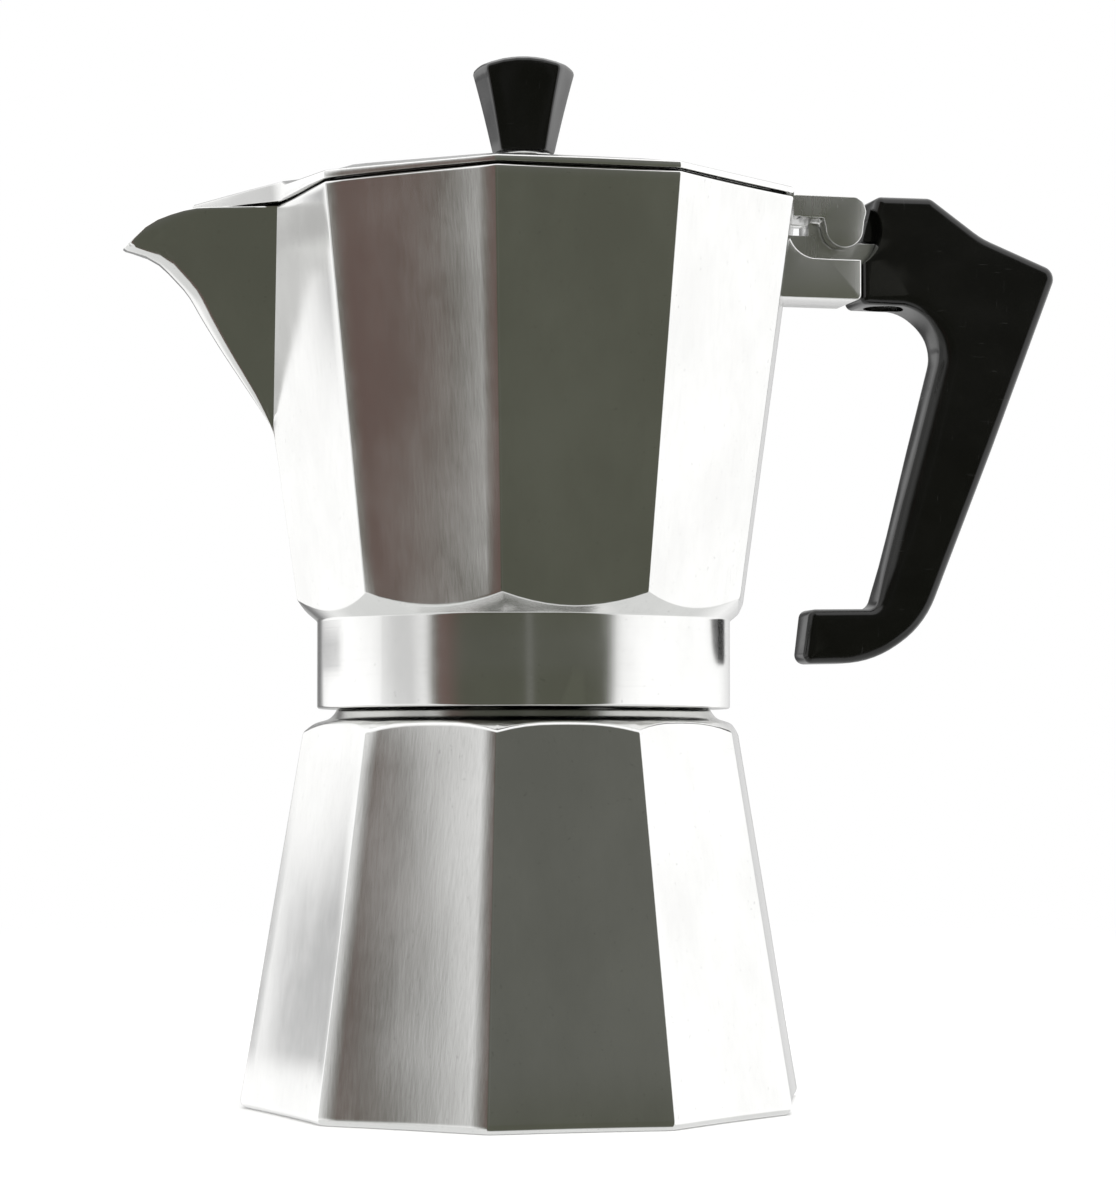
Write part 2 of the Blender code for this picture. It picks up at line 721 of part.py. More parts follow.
def make_lid(mat):
    columns = []  # (x, y at the edge, height below, height above, is spout side)
    gap = 0.5

    def edge(x, y, beak):
        under = (162.5 if beak else table(LIP, max(0.0, -x)) + gap)
        if beak:
            share = (-x - 47.8) / (BEAK_TIP - 47.8)
            upper = 165.0 + (163.6 - 165.0) * max(0.0, share)
        else:
            upper = min(165.9, 165.9 - 0.0125 * max(0.0, -x))
            under = min(under, upper - 1.1)
        return x, y, under, upper, beak

    half = []
    for k in range(4):
        a = Vector((math.cos(k * SEG_ANGLE), math.sin(k * SEG_ANGLE))) * LID_R
        b = Vector((math.cos((k + 1) * SEG_ANGLE), math.sin((k + 1) * SEG_ANGLE))) * LID_R
        for u in (0.0, 0.25, 0.5, 0.75):
            p = a.lerp(b, u)
            half.append(edge(p.x, p.y, False))
    a = Vector((math.cos(4 * SEG_ANGLE), math.sin(4 * SEG_ANGLE))) * LID_R
    b = Vector((-LID_R, 0.0))
    for u in (0.0, BEAK_SHARE / 2):
        p = a.lerp(b, u)
        half.append(edge(p.x, p.y, False))
    corner = a.lerp(b, BEAK_SHARE)
    tip = Vector((-BEAK_TIP, 0.0))
    for u in (0.0, 0.35, 0.7, 0.93):
        p = corner.lerp(tip, u)
        half.append(edge(p.x, p.y, True))
    full = half + [edge(-BEAK_TIP, 0.0, True)] + [(x, -y, lo, hi, bk) for x, y, lo, hi, bk in half[:0:-1]]

    def inner_dir(x, y):
        d = Vector((x, y))
        k = math.atan2(y, x) % SEG_ANGLE - SEG_ANGLE / 2
        return d.normalized(), HALF_COS / math.cos(k)

    def ring(corner_r, z):
        row = []
        for x, y, lo, hi, bk in full:
            d, c = inner_dir(x, y)
            row.append((d.x * corner_r * c, d.y * corner_r * c, z(lo, hi, bk) if callable(z) else z))
        return row

    def cone(corner_r):
        return 166.1 + (LID_APEX - 166.1) * (LID_R - corner_r) / (LID_R - 7.0)


    def lip_depth(lo, hi, bk):
        return 0.0 if bk else 2.0

    rows = [
        ring(2.3, LID_APEX),
        [(7.0 * inner_dir(x, y)[0].x, 7.0 * inner_dir(x, y)[0].y, LID_APEX) for x, y, *_ in full],
        ring(28.0, cone(28.0)),
        ring(49.0, lambda lo, hi, bk: min(cone(49.0), hi + 0.75)),
        [(x * 0.992, y * 0.992, hi) for x, y, lo, hi, bk in full],
        [(x, y, hi - 0.35) for x, y, lo, hi, bk in full],
        [(x, y, lo + 0.15) for x, y, lo, hi, bk in full],
        [(x * 0.994, y * 0.994, lo) for x, y, lo, hi, bk in full],
        ring(49.0, lambda lo, hi, bk: lo),
        ring(48.8, lambda lo, hi, bk: lo - lip_depth(lo, hi, bk)),
        ring(47.6, lambda lo, hi, bk: lo - lip_depth(lo, hi, bk)),
        ring(47.0, lambda lo, hi, bk: lo + 0.6),
        ring(28.0, cone(28.0) - 1.3),
        [(8.0 * inner_dir(x, y)[0].x, 8.0 * inner_dir(x, y)[0].y, LID_APEX - 1.6) for x, y, *_ in full],
        ring(2.3, LID_APEX - 1.6),
    ]
    rows[0] = [(2.2 * inner_dir(x, y)[0].x, 2.2 * inner_dir(x, y)[0].y, LID_APEX) for x, y, *_ in full]
    rows[-1] = [(2.2 * inner_dir(x, y)[0].x, 2.2 * inner_dir(x, y)[0].y, LID_APEX - 1.6) for x, y, *_ in full]
    lid = grid("lid", rows, mat, wrap=True, sharp=9.0)

    web = rounded([(48.4, 165.05, 0), (55.6, 165.05, 0), (55.6, 169.35, 0), (50.4, 169.35, 1.4)], 30)
    web_obj = prism("add_web", web, -EAR_OUT, EAR_OUT, None)
    ear = [
        (52.0, 164.7), (PIN_X - KNUCKLE_R, 164.7),
    ]
    ear += [(PIN_X + KNUCKLE_R * math.cos(math.radians(a)), PIN_Z + KNUCKLE_R * math.sin(math.radians(a))) for a in range(180, 361, 20)]
    ear += [(64.75, 164.6), (64.95, 166.4), (64.4, 168.2), (62.9, 169.35), (52.0, 169.35)]
    near = prism("add_ear_near", ear, -EAR_OUT, -EAR_IN, None)
    far = prism("add_ear_far", ear, EAR_IN, EAR_OUT, None)
    hole = lathe("cut_ear_hole", [(0, -9.0), (PIN_R + 0.06, -9.0), (PIN_R + 0.06, 9.0), (0, 9.0)], None, 24, y_axis_place(PIN_X, 0.0, PIN_Z))
    boolean(lid, web_obj, "UNION")
    boolean(lid, near, "UNION")
    boolean(lid, far, "UNION")
    boolean(lid, hole, "DIFFERENCE")
    return lid


def make_hinge_pin(mat):
    # plain pin with a small domed end each side, flush with the ears
    return lathe(
        "hinge_pin",
        [(0, -6.7), (1.1, -6.6), (PIN_R, -6.2), (PIN_R, 6.2), (1.1, 6.6), (0, 6.7)],
        mat,
        24,
        y_axis_place(PIN_X, 0.0, PIN_Z),
    )


KNOB_TOP = [(-6.7, 7.6), (-9.5, 0.0), (-6.7, -7.6), (6.7, -7.6), (9.5, 0.0), (6.7, 7.6)]
KNOB_TURN = math.radians(-13.0)


def make_knob(plastic, brass, steel):
    sides = []
    for i, (x, y) in enumerate(KNOB_TOP):
        nx, ny = KNOB_TOP[(i + 1) % 6]
        for u in (0.0, 1 / 3, 2 / 3):
            p = Vector((x + (nx - x) * u, y + (ny - y) * u))
            c, s = math.cos(KNOB_TURN), math.sin(KNOB_TURN)
            sides.append(Vector((p.x * c - p.y * s, p.x * s + p.y * c)))

    def dome(p):
        return KNOB_APEX - (KNOB_DOME_R - math.sqrt(KNOB_DOME_R**2 - p.length_squared))

    def hole(r, z):
        return [(p.normalized().x * r, p.normalized().y * r, z) for p in sides]

    def outline(scale, z=None, drop=0.0):
        return [(p.x * scale, p.y * scale, (dome(p * scale) - drop) if z is None else z) for p in sides]

    rows = [
        hole(3.5, 187.3),
        hole(3.5, KNOB_BOTTOM),
        outline(0.60, KNOB_BOTTOM),
        outline(0.625, KNOB_BOTTOM + 0.5),
        outline(0.985, None, 0.9),
        outline(0.965),
        outline(0.65),
        outline(0.33),
    ]
    knob = grid("knob", rows, plastic, start=(0, 0, 187.3), end=(0, 0, KNOB_APEX), sharp=15.0)
    washer = lathe("knob_washer", [(2.2, 174.3), (5.7, 174.3), (6.0, 174.6), (6.0, 175.0), (5.7, 175.3), (2.2, 175.3)], steel, 32)
    insert = lathe("knob_insert", [(2.1, 175.9), (3.2, 175.9), (3.2, 187.0), (2.1, 187.0)], brass, 24)
    screw = lathe(
        "knob_screw",
        [(0, 170.4), (2.8, 170.4), (3.6, 170.9), (3.6, 172.1), (1.8, 172.1), (1.8, 185.6), (1.3, 186.2), (0, 186.2)],
        steel,
        24,
    )
    return knob, washer, insert, screw


# ---------------------------------------------------------------- handle
HANDLE = [
    (64.3, 149.1, 1.4), (64.3, 157.5, 4.0), (67.5, 169.65, 1.4), (78.3, 169.75, 2.6), (88.6, 162.6, 16.0),
    (104.0, 156.6, 2.6), (77.4, 88.4, 9.0), (67.0, 81.4, 12.0), (53.1, 81.1, 1.8), (54.5, 91.4, 1.6),
    (67.8, 91.6, 2.4), (83.0, 149.1, 8.6),
]


def make_handle(mat, steel):
    outline = rounded(HANDLE, 18)

    def half(x, z):
        return 4.3 + 1.7 * max(0.0, min(1.0, (z - 82.0) / 40.0))

    handle = prism("handle", outline, 0, 0, mat, chamfer=1.2, half=half)
    bm = bmesh.new()
    bmesh.ops.create_cube(bm, size=1.0)
    for v in bm.verts:
        v.co = Vector((68.0 + v.co.x * 12.8, v.co.y * 6.6, 158.0 + v.co.z * 6.7)) * MM
    slot = link("cut_handle_slot", bm, None)
    wells = lathe("cut_handle_well", [(0, 145.0), (3.8, 145.0), (3.8, 152.6), (2.2, 152.6), (2.2, 156.0), (0, 156.0)], None, 24, z_axis_place(70.4, 0.0))
    near = lathe("cut_rebate_near", [(0, -9.0), (7.3, -9.0), (7.3, -TONGUE_HALF), (0, -TONGUE_HALF)], None, 36, y_axis_place(PIN_X, 0.0, PIN_Z))
    far = lathe("cut_rebate_far", [(0, TONGUE_HALF), (7.3, TONGUE_HALF), (7.3, 9.0), (0, 9.0)], None, 36, y_axis_place(PIN_X, 0.0, PIN_Z))
    for cutter in (slot, wells, near, far):
        boolean(handle, cutter, "DIFFERENCE")
    place = z_axis_place(70.4, 0.0)
    washer = lathe("handle_washer", [(2.2, 151.6), (3.4, 151.6), (3.4, 152.2), (2.2, 152.2)], steel, 24, place)
    screw = lathe(
        "handle_screw",
        [(0, 149.8), (2.6, 149.8), (3.1, 150.2), (3.1, 151.3), (1.9, 151.3), (1.9, 159.0), (1.5, 159.6), (0, 159.6)],
        steel,
        24,
        place,
    )
    return handle, washer, screw


# ---------------------------------------------------------------- assembly
def main():
    clear_scene()
    alu = material("cast_aluminium", (0.74, 0.74, 0.73), 0.22, 1.0)
    spun = material("spun_aluminium", (0.78, 0.78, 0.77), 0.34, 1.0)
    steel = material("steel", (0.62, 0.62, 0.61), 0.25, 1.0)
    brass = material("brass", (0.72, 0.52, 0.24), 0.28, 1.0)
    plastic = material("moulded_black", (0.012, 0.012, 0.011), 0.22, 0.0)
    rubber = material("white_rubber", (0.75, 0.73, 0.68), 0.6, 0.0)
    red = material("red_fibre", (0.35, 0.06, 0.04), 0.6, 0.0)

    boiler = make_boiler(alu)
    body, v_gasket, seat, pin, spring, cutter = make_valve(brass, steel, red)
    boolean(boiler, cutter, "DIFFERENCE")
    basket, stem, screen, gasket, plate = make_funnel(spun, steel, rubber)
    collector = make_collector(alu)
    column = make_column(alu)
    lid = make_lid(alu)
    hinge_pin = make_hinge_pin(steel)
    knob, k_washer, k_insert, k_screw = make_knob(plastic, brass, steel)
    handle, h_washer, h_screw = make_handle(plastic, steel)

    origin = valve_place().translation / MM
    parent_at("axis_valve", tuple(origin), [pin])
    parent_at("axis_unscrew", (0, 0, NECK_TOP), [collector, column, hinge_pin, handle, h_washer, h_screw])
    parent_at("axis_lid", (PIN_X, 0, PIN_Z), [lid, knob, k_washer, k_insert, k_screw])
    parent_at("axis_funnel", (0, 0, NECK_TOP), [basket, stem, screen])
    parent_at("axis_gasket", (0, 0, 85.5), [gasket])
    parent_at("axis_plate", (0, 0, 88.4), [plate])


main()
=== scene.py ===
import math  # noqa: E402

import bmesh  # noqa: E402
import bpy  # noqa: E402
from mathutils import Matrix, Vector  # noqa: E402
from mathutils.geometry import delaunay_2d_cdt  # noqa: E402


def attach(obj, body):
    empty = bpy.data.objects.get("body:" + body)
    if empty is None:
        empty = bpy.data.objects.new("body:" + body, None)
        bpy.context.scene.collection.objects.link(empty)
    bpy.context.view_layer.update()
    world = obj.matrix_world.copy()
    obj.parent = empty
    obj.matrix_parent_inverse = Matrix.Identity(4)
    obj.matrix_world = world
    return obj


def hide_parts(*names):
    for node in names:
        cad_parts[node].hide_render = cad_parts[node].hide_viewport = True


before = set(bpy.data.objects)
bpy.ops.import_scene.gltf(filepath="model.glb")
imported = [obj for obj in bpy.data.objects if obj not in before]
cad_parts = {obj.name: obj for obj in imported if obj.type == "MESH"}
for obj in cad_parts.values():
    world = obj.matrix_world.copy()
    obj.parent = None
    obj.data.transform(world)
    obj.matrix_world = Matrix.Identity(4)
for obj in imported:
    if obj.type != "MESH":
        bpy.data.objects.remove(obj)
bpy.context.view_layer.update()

MM = 0.001
SIDES = 10
SEG = 2 * math.pi / SIDES
HC = math.cos(SEG / 2)

# sizes in mm, the same as the CAD
BOILER_TURN = math.radians(-1.5)
NECK_TOP = 84.0
PIN_X, PIN_Z, PIN_R = 60.6, 163.15, 1.5
KNUCKLE_R = 3.7
EAR_IN, EAR_OUT = 3.3, 6.5
TONGUE_HALF = 2.9
BOILER_WALL = 2.9
JUG_WALL = 2.2
COLLAR_R = 38.15
COLLAR_Z0, COLLAR_Z1 = 72.5, 88.6
FLOOR_UNDER, FLOOR_TOP, FLOOR_HOLE = 89.4, 91.9, 6.3
LID_R, LID_APEX, BEAK_TIP, BEAK_SHARE = 52.7, 174.0, 61.6, 0.523


# ------------------------------------------------------------------ materials
def new_material(name):
    mat = bpy.data.materials.new(name)
    mat.use_nodes = True
    tree = mat.node_tree
    tree.nodes.clear()
    out = tree.nodes.new("ShaderNodeOutputMaterial")
    bsdf = tree.nodes.new("ShaderNodeBsdfPrincipled")
    tree.links.new(bsdf.outputs[0], out.inputs[0])
    return mat, tree, bsdf


class Nodes:
    """Short names for building a node tree."""

    def __init__(self, tree):
        self.t = tree
        self.coord = tree.nodes.new("ShaderNodeTexCoord")

    def link(self, a, b):
        self.t.links.new(a, b)

    def put(self, socket, value):
        if isinstance(value, bpy.types.NodeSocket):
            self.link(value, socket)
        else:
            socket.default_value = value

    def scaled(self, sx, sy, sz, turn=(0, 0, 0), source=None):
        n = self.t.nodes.new("ShaderNodeMapping")
        n.inputs["Scale"].default_value = (sx, sy, sz)
        n.inputs["Rotation"].default_value = turn
        self.link(source or self.coord.outputs["Object"], n.inputs["Vector"])
        return n.outputs[0]

    def noise(self, vector, scale=1.0, detail=2.0, rough=0.5, distortion=0.0):
        n = self.t.nodes.new("ShaderNodeTexNoise")
        n.inputs["Scale"].default_value = scale
        n.inputs["Detail"].default_value = detail
        n.inputs["Roughness"].default_value = rough
        n.inputs["Distortion"].default_value = distortion
        self.link(vector, n.inputs["Vector"])
        return n.outputs["Fac"]

    def math(self, op, a, b=0.0, c=0.0, clamp=False):
        n = self.t.nodes.new("ShaderNodeMath")
        n.operation = op
        n.use_clamp = clamp
        for i, v in enumerate((a, b, c)):
            self.put(n.inputs[i], v)
        return n.outputs[0]

    def span(self, value, lo, hi, out_lo=0.0, out_hi=1.0, smooth=True):
        n = self.t.nodes.new("ShaderNodeMapRange")
        n.interpolation_type = "SMOOTHSTEP" if smooth else "LINEAR"
        self.put(n.inputs["Value"], value)
        n.inputs["From Min"].default_value = lo
        n.inputs["From Max"].default_value = hi
        n.inputs["To Min"].default_value = out_lo
        n.inputs["To Max"].default_value = out_hi
        return n.outputs["Result"]

    def mix(self, fac, a, b):
        n = self.t.nodes.new("ShaderNodeMix")
        n.data_type = "RGBA"
        self.put(n.inputs["Factor"], fac)
        for socket, v in ((n.inputs[6], a), (n.inputs[7], b)):
            if isinstance(v, tuple):
                socket.default_value = (*v, 1.0)
            else:
                self.link(v, socket)
        return n.outputs[2]

    def blend(self, fac, a, b):
        n = self.t.nodes.new("ShaderNodeMix")
        n.data_type = "FLOAT"
        self.put(n.inputs["Factor"], fac)
        self.put(n.inputs[2], a)
        self.put(n.inputs[3], b)
        return n.outputs[0]

    def bump(self, height, strength, distance, normal=None):
        n = self.t.nodes.new("ShaderNodeBump")
        n.inputs["Strength"].default_value = strength
        n.inputs["Distance"].default_value = distance
        self.link(height, n.inputs["Height"])
        if normal is not None:
            self.link(normal, n.inputs["Normal"])
        return n.outputs[0]

    def edges(self, lo=0.505, hi=0.56):
        """1 on worn outer edges, 0 elsewhere."""
        g = self.t.nodes.new("ShaderNodeNewGeometry")
        return self.span(g.outputs["Pointiness"], lo, hi)

    def height(self):
        s = self.t.nodes.new("ShaderNodeSeparateXYZ")
        self.link(self.coord.outputs["Object"], s.inputs[0])
        return s.outputs["Z"]


def cast_aluminium(name, rings_below=0.0, light=0.80, rough=0.10, ring_all=False):
    """Polished cast aluminium: brushed along the facets, turned where it is round."""
    mat, tree, bsdf = new_material(name)
    n = Nodes(tree)
    fine = n.noise(n.scaled(2300, 2300, 42, (0.0, 0.02, 0.0)), 1.0, 3.0, 0.6)
    broad = n.noise(n.scaled(420, 420, 9), 1.0, 2.0, 0.5)
    turned = n.noise(n.scaled(30, 30, 3600), 1.0, 3.0, 0.6)
    wobble = n.noise(n.scaled(34, 34, 21), 1.0, 1.0, 0.4)
    cloud = n.noise(n.scaled(60, 60, 34), 1.0, 4.0, 0.6)
    specks = n.noise(n.scaled(1500, 1500, 1500), 1.0, 1.0, 0.5)
    if ring_all:
        is_ring = 1.0
        streak = turned
    elif rings_below:
        is_ring = n.span(n.height(), rings_below - 0.0003, rings_below + 0.0003, 1.0, 0.0)
        streak = n.blend(is_ring, fine, turned)
    else:
        streak = fine
    edge = n.edges()
    pits = n.span(specks, 0.70, 0.78)
    tone = n.mix(n.span(cloud, 0.3, 0.75), (light - 0.05, light - 0.05, light - 0.06), (light + 0.03, light + 0.03, light + 0.02))
    tone = n.mix(n.math("MULTIPLY", n.span(streak, 0.5, 0.85), 0.16), tone, (light - 0.17, light - 0.17, light - 0.18))
    tone = n.mix(n.math("MULTIPLY", edge, 0.7), tone, (0.93, 0.93, 0.92))
    tone = n.mix(n.math("MULTIPLY", pits, 0.25), tone, (0.45, 0.45, 0.44))
    n.link(tone, bsdf.inputs["Base Color"])
    r = n.math("ADD", rough, n.math("MULTIPLY", streak, 0.08))
    r = n.math("ADD", r, n.math("MULTIPLY", n.span(cloud, 0.35, 0.8), 0.05))
    r = n.math("SUBTRACT", r, n.math("MULTIPLY", edge, 0.05))
    n.link(r, bsdf.inputs["Roughness"])
    bsdf.inputs["Metallic"].default_value = 1.0
    bump = n.bump(wobble, 0.22, 0.0014)
    bump = n.bump(broad, 0.06, 0.00010, bump)
    bump = n.bump(streak, 0.14, 0.00002, bump)
    n.link(bump, bsdf.inputs["Normal"])
    return mat


def sheet_aluminium(name, rough=0.27):
    """Drawn or turned sheet: fine rings and small dents."""
    mat, tree, bsdf = new_material(name)
    n = Nodes(tree)
    grain = n.noise(n.scaled(900, 900, 2600), 1.0, 3.0, 0.6)
    cloud = n.noise(n.scaled(70, 70, 70), 1.0, 4.0, 0.6)
    edge = n.edges()
    tone = n.mix(n.span(cloud, 0.3, 0.75), (0.68, 0.68, 0.67), (0.80, 0.80, 0.79))
    tone = n.mix(n.math("MULTIPLY", n.span(grain, 0.5, 0.8), 0.3), tone, (0.55, 0.55, 0.54))
    tone = n.mix(n.math("MULTIPLY", edge, 0.6), tone, (0.92, 0.92, 0.91))
    n.link(tone, bsdf.inputs["Base Color"])
    n.link(n.math("ADD", rough, n.math("MULTIPLY", grain, 0.14)), bsdf.inputs["Roughness"])
    bsdf.inputs["Metallic"].default_value = 1.0
    bump = n.bump(cloud, 0.18, 0.0006)
    n.link(n.bump(grain, 0.25, 0.00004, bump), bsdf.inputs["Normal"])
    return mat


def turned_metal(name, dark, light, rough, wear):
    """Small turned or plated piece with tool marks, stains and bright edges."""
    mat, tree, bsdf = new_material(name)
    n = Nodes(tree)
    marks = n.noise(n.scaled(2600, 2600, 2600), 1.0, 3.0, 0.65)
    stain = n.noise(n.scaled(240, 240, 240), 1.0, 4.0, 0.6)
    edge = n.edges()
    tone = n.mix(n.span(stain, 0.35, 0.7), dark, light)
    tone = n.mix(n.math("MULTIPLY", n.span(marks, 0.55, 0.8), 0.3), tone, tuple(v * 0.6 for v in dark))
    tone = n.mix(n.math("MULTIPLY", edge, 0.75), tone, wear)
    n.link(tone, bsdf.inputs["Base Color"])
    n.link(n.math("ADD", rough, n.math("MULTIPLY", stain, 0.16)), bsdf.inputs["Roughness"])
    bsdf.inputs["Metallic"].default_value = 1.0
    n.link(n.bump(marks, 0.25, 0.00004, n.bump(stain, 0.12, 0.0002)), bsdf.inputs["Normal"])
    return mat


def black_moulding(name):
    """Glossy black thermoset: slight waves from the mould, hairline scratches, rubbed edges."""
    mat, tree, bsdf = new_material(name)
    n = Nodes(tree)
    waves = n.noise(n.scaled(85, 85, 60), 1.0, 2.0, 0.5)
    grain = n.noise(n.scaled(2400, 2400, 2400), 1.0, 2.0, 0.5)
    hair = n.noise(n.scaled(160, 160, 3000, (0.5, 0.9, 0.2)), 1.0, 2.0, 0.6)
    hair2 = n.noise(n.scaled(2600, 190, 190, (0.2, -0.6, 0.7)), 1.0, 2.0, 0.6)
    smear = n.noise(n.scaled(55, 55, 90), 1.0, 4.0, 0.65)
    edge = n.edges(0.51, 0.58)
    scratch = n.math("MAXIMUM", n.span(hair, 0.70, 0.76), n.span(hair2, 0.71, 0.77))
    tone = n.mix(n.span(smear, 0.3, 0.8), (0.0012, 0.0012, 0.0009), (0.0030, 0.0029, 0.0023))
    tone = n.mix(n.math("MULTIPLY", edge, 0.5), tone, (0.016, 0.016, 0.014))
    tone = n.mix(n.math("MULTIPLY", scratch, 0.25), tone, (0.05, 0.05, 0.048))
    n.link(tone, bsdf.inputs["Base Color"])
    r = n.math("ADD", 0.10, n.math("MULTIPLY", n.span(smear, 0.3, 0.8), 0.12))
    r = n.math("ADD", r, n.math("MULTIPLY", scratch, 0.15))
    r = n.math("ADD", r, n.math("MULTIPLY", edge, 0.06))
    n.link(r, bsdf.inputs["Roughness"])
    bsdf.inputs["IOR"].default_value = 1.5
    bump = n.bump(waves, 0.16, 0.0011)
    bump = n.bump(grain, 0.07, 0.00003, bump)
    n.link(n.bump(scratch, 0.12, 0.00002, bump), bsdf.inputs["Normal"])
    return mat


def soft_seal(name, light, dark, rough, grain_scale):
    mat, tree, bsdf = new_material(name)
    n = Nodes(tree)
    grain = n.noise(n.scaled(grain_scale, grain_scale, grain_scale), 1.0, 4.0, 0.65)
    cloud = n.noise(n.scaled(130, 130, 130), 1.0, 3.0, 0.6)
    edge = n.edges()
    tone = n.mix(n.span(cloud, 0.3, 0.75), dark, light)
    tone = n.mix(n.math("MULTIPLY", n.span(grain, 0.55, 0.8), 0.35), tone, tuple(v * 0.7 for v in dark))
    tone = n.mix(n.math("MULTIPLY", edge, 0.3), tone, tuple(min(1.0, v * 1.15) for v in light))
    n.link(tone, bsdf.inputs["Base Color"])
    n.link(n.math("ADD", rough, n.math("MULTIPLY", grain, 0.2)), bsdf.inputs["Roughness"])
    bsdf.inputs["Sheen Weight"].default_value = 0.1
    n.link(n.bump(grain, 0.35, 0.00006, n.bump(cloud, 0.2, 0.0003)), bsdf.inputs["Normal"])
    return mat


M_BOILER = cast_aluminium("boiler_aluminium")
M_JUG = cast_aluminium("jug_aluminium", rings_below=0.0887)
M_LID = cast_aluminium("lid_aluminium", light=0.79, rough=0.14)
M_LUG = cast_aluminium("lug_aluminium", light=0.74, rough=0.22)
M_COLUMN = cast_aluminium("column_aluminium", light=0.76, rough=0.24, ring_all=True)
M_SHEET = sheet_aluminium("drawn_sheet")
M_STEEL = turned_metal("bright_steel", (0.50, 0.50, 0.49), (0.66, 0.66, 0.65), 0.16, (0.85, 0.85, 0.84))
M_BRASS = turned_metal("turned_brass", (0.52, 0.34, 0.13), (0.74, 0.53, 0.24), 0.20, (0.90, 0.72, 0.42))
M_BLACK = black_moulding("black_thermoset")
M_RUBBER = soft_seal("seal_white_rubber", (0.80, 0.78, 0.72), (0.70, 0.67, 0.60), 0.5, 1100)
M_FIBRE = soft_seal("red_fibre", (0.40, 0.07, 0.045), (0.26, 0.04, 0.03), 0.6, 1700)


# ------------------------------------------------------------------ mesh helpers
def link(name, bm, mat, sharp=32.0):
    bmesh.ops.remove_doubles(bm, verts=bm.verts, dist=2e-7)
    bmesh.ops.recalc_face_normals(bm, faces=bm.faces)
    mesh = bpy.data.meshes.new(name)
    bm.to_mesh(mesh)
    bm.free()
    mesh.shade_smooth()
    mesh.set_sharp_from_angle(angle=math.radians(sharp))
    obj = bpy.data.objects.new(name, mesh)
    bpy.context.scene.collection.objects.link(obj)
    if mat is not None:
        mesh.materials.append(mat)
    return obj


def grid(name, rows, mat, wrap=False, start=None, end=None, sharp=32.0, place=None):
    bm = bmesh.new()

    def vert(p):
        v = Vector(p) * MM
        return bm.verts.new(place @ v if place else v)

    made = [[vert(p) for p in row] for row in rows]
    n = len(rows[0])
    pairs = list(zip(made, made[1:]))
    if wrap:
        pairs.append((made[-1], made[0]))
    for a, b in pairs:
        for i in range(n):
            j = (i + 1) % n
            bm.faces.new((a[i], a[j], b[j], b[i]))
    for tip, row in ((start, made[0]), (end, made[-1])):
        if tip is not None:
            t = vert(tip)
            for i in range(n):
                bm.faces.new((t, row[i], row[(i + 1) % n]))
    return link(name, bm, mat, sharp)


def fillet(points, closed=False, segs=4):
    """Polyline of (x, y, radius) with its corners turned into arcs of segs steps."""
    out = []
    n = len(points)
    for i in range(n):
        x, y, radius = points[i]
        ends = not closed and i in (0, n - 1)
        if ends or radius <= 0:
            out.append((x, y))
            continue
        a, b, c = (Vector(points[j % n][:2]) for j in (i - 1, i, i + 1))
        u, v = a - b, c - b
        room = 0.48 * min(u.length, v.length)
        u.normalize()
        v.normalize()
        angle = math.acos(max(-0.9999, min(0.9999, u.dot(v))))
        reach = min(radius / math.tan(angle / 2), room)
        rad = reach * math.tan(angle / 2)
        centre = b + (u + v).normalized() * (rad / math.sin(angle / 2))
        p, q = b + u * reach - centre, b + v * reach - centre
        a0 = math.atan2(p.y, p.x)
        turn = (math.atan2(q.y, q.x) - a0 + math.pi) % (2 * math.pi) - math.pi
        for k in range(segs + 1):
            t = a0 + turn * k / segs
            out.append((centre.x + rad * math.cos(t), centre.y + rad * math.sin(t)))
    return out


def lathe(name, profile, mat, n=96, place=None, sharp=32.0, segs=3, wave=None):
    """Turned piece from (radius, height, fillet) points."""
    pts = [(p[0], p[1], p[2] if len(p) > 2 else 0.0) for p in profile]
    start = end = None
    on_axis = pts[0][0] == 0
    body = fillet(pts, closed=not on_axis, segs=segs)
    if on_axis:
        start = (0, 0, body.pop(0)[1])
        end = (0, 0, body.pop()[1])
    rows = []
    for r, z in body:
        row = []
        for i in range(n):
            t = 2 * math.pi * i / n
            k = wave(t, r, z) if wave else 1.0
            row.append((r * k * math.cos(t), r * k * math.sin(t), z))
        rows.append(row)
    return grid(name, rows, mat, wrap=not on_axis, start=start, end=end, sharp=sharp, place=place)


def offset_corners(corners, d, soft=None):
    """Corners (x, z, radius) of an outline moved inward by d, radii kept in step.

    soft, when given, maps the middle of an edge to a factor on d for that edge.
    """
    n = len(corners)
    area = sum(corners[i - 1][0] * corners[i][1] - corners[i][0] * corners[i - 1][1] for i in range(n))
    side = 1.0 if area > 0 else -1.0
    out = []
    for i in range(n):
        a, b, c = (Vector(corners[j % n][:2]) for j in (i - 1, i, i + 1))
        d1, d2 = (b - a).normalized(), (c - b).normalized()
        n1, n2 = Vector((-d1.y, d1.x)) * side, Vector((-d2.y, d2.x)) * side
        w1 = d * (soft((a + b) / 2) if soft else 1.0)
        w2 = d * (soft((b + c) / 2) if soft else 1.0)
        det = n1.x * n2.y - n1.y * n2.x
        if abs(det) < 0.12:
            m = (n1 + n2).normalized() * ((w1 + w2) / 2)
        else:
            m = Vector(((w1 * n2.y - w2 * n1.y) / det, (n1.x * w2 - n2.x * w1) / det))
        turn = (d1.x * d2.y - d1.y * d2.x) * side
        rad = corners[i][2]
        mean = (w1 + w2) / 2
        rad = max(0.12, rad - mean) if turn > 0 else rad + mean
        if corners[i][2] <= 0:
            rad = 0.0
        p = b + m
        out.append((p.x, p.y, rad))
    return out


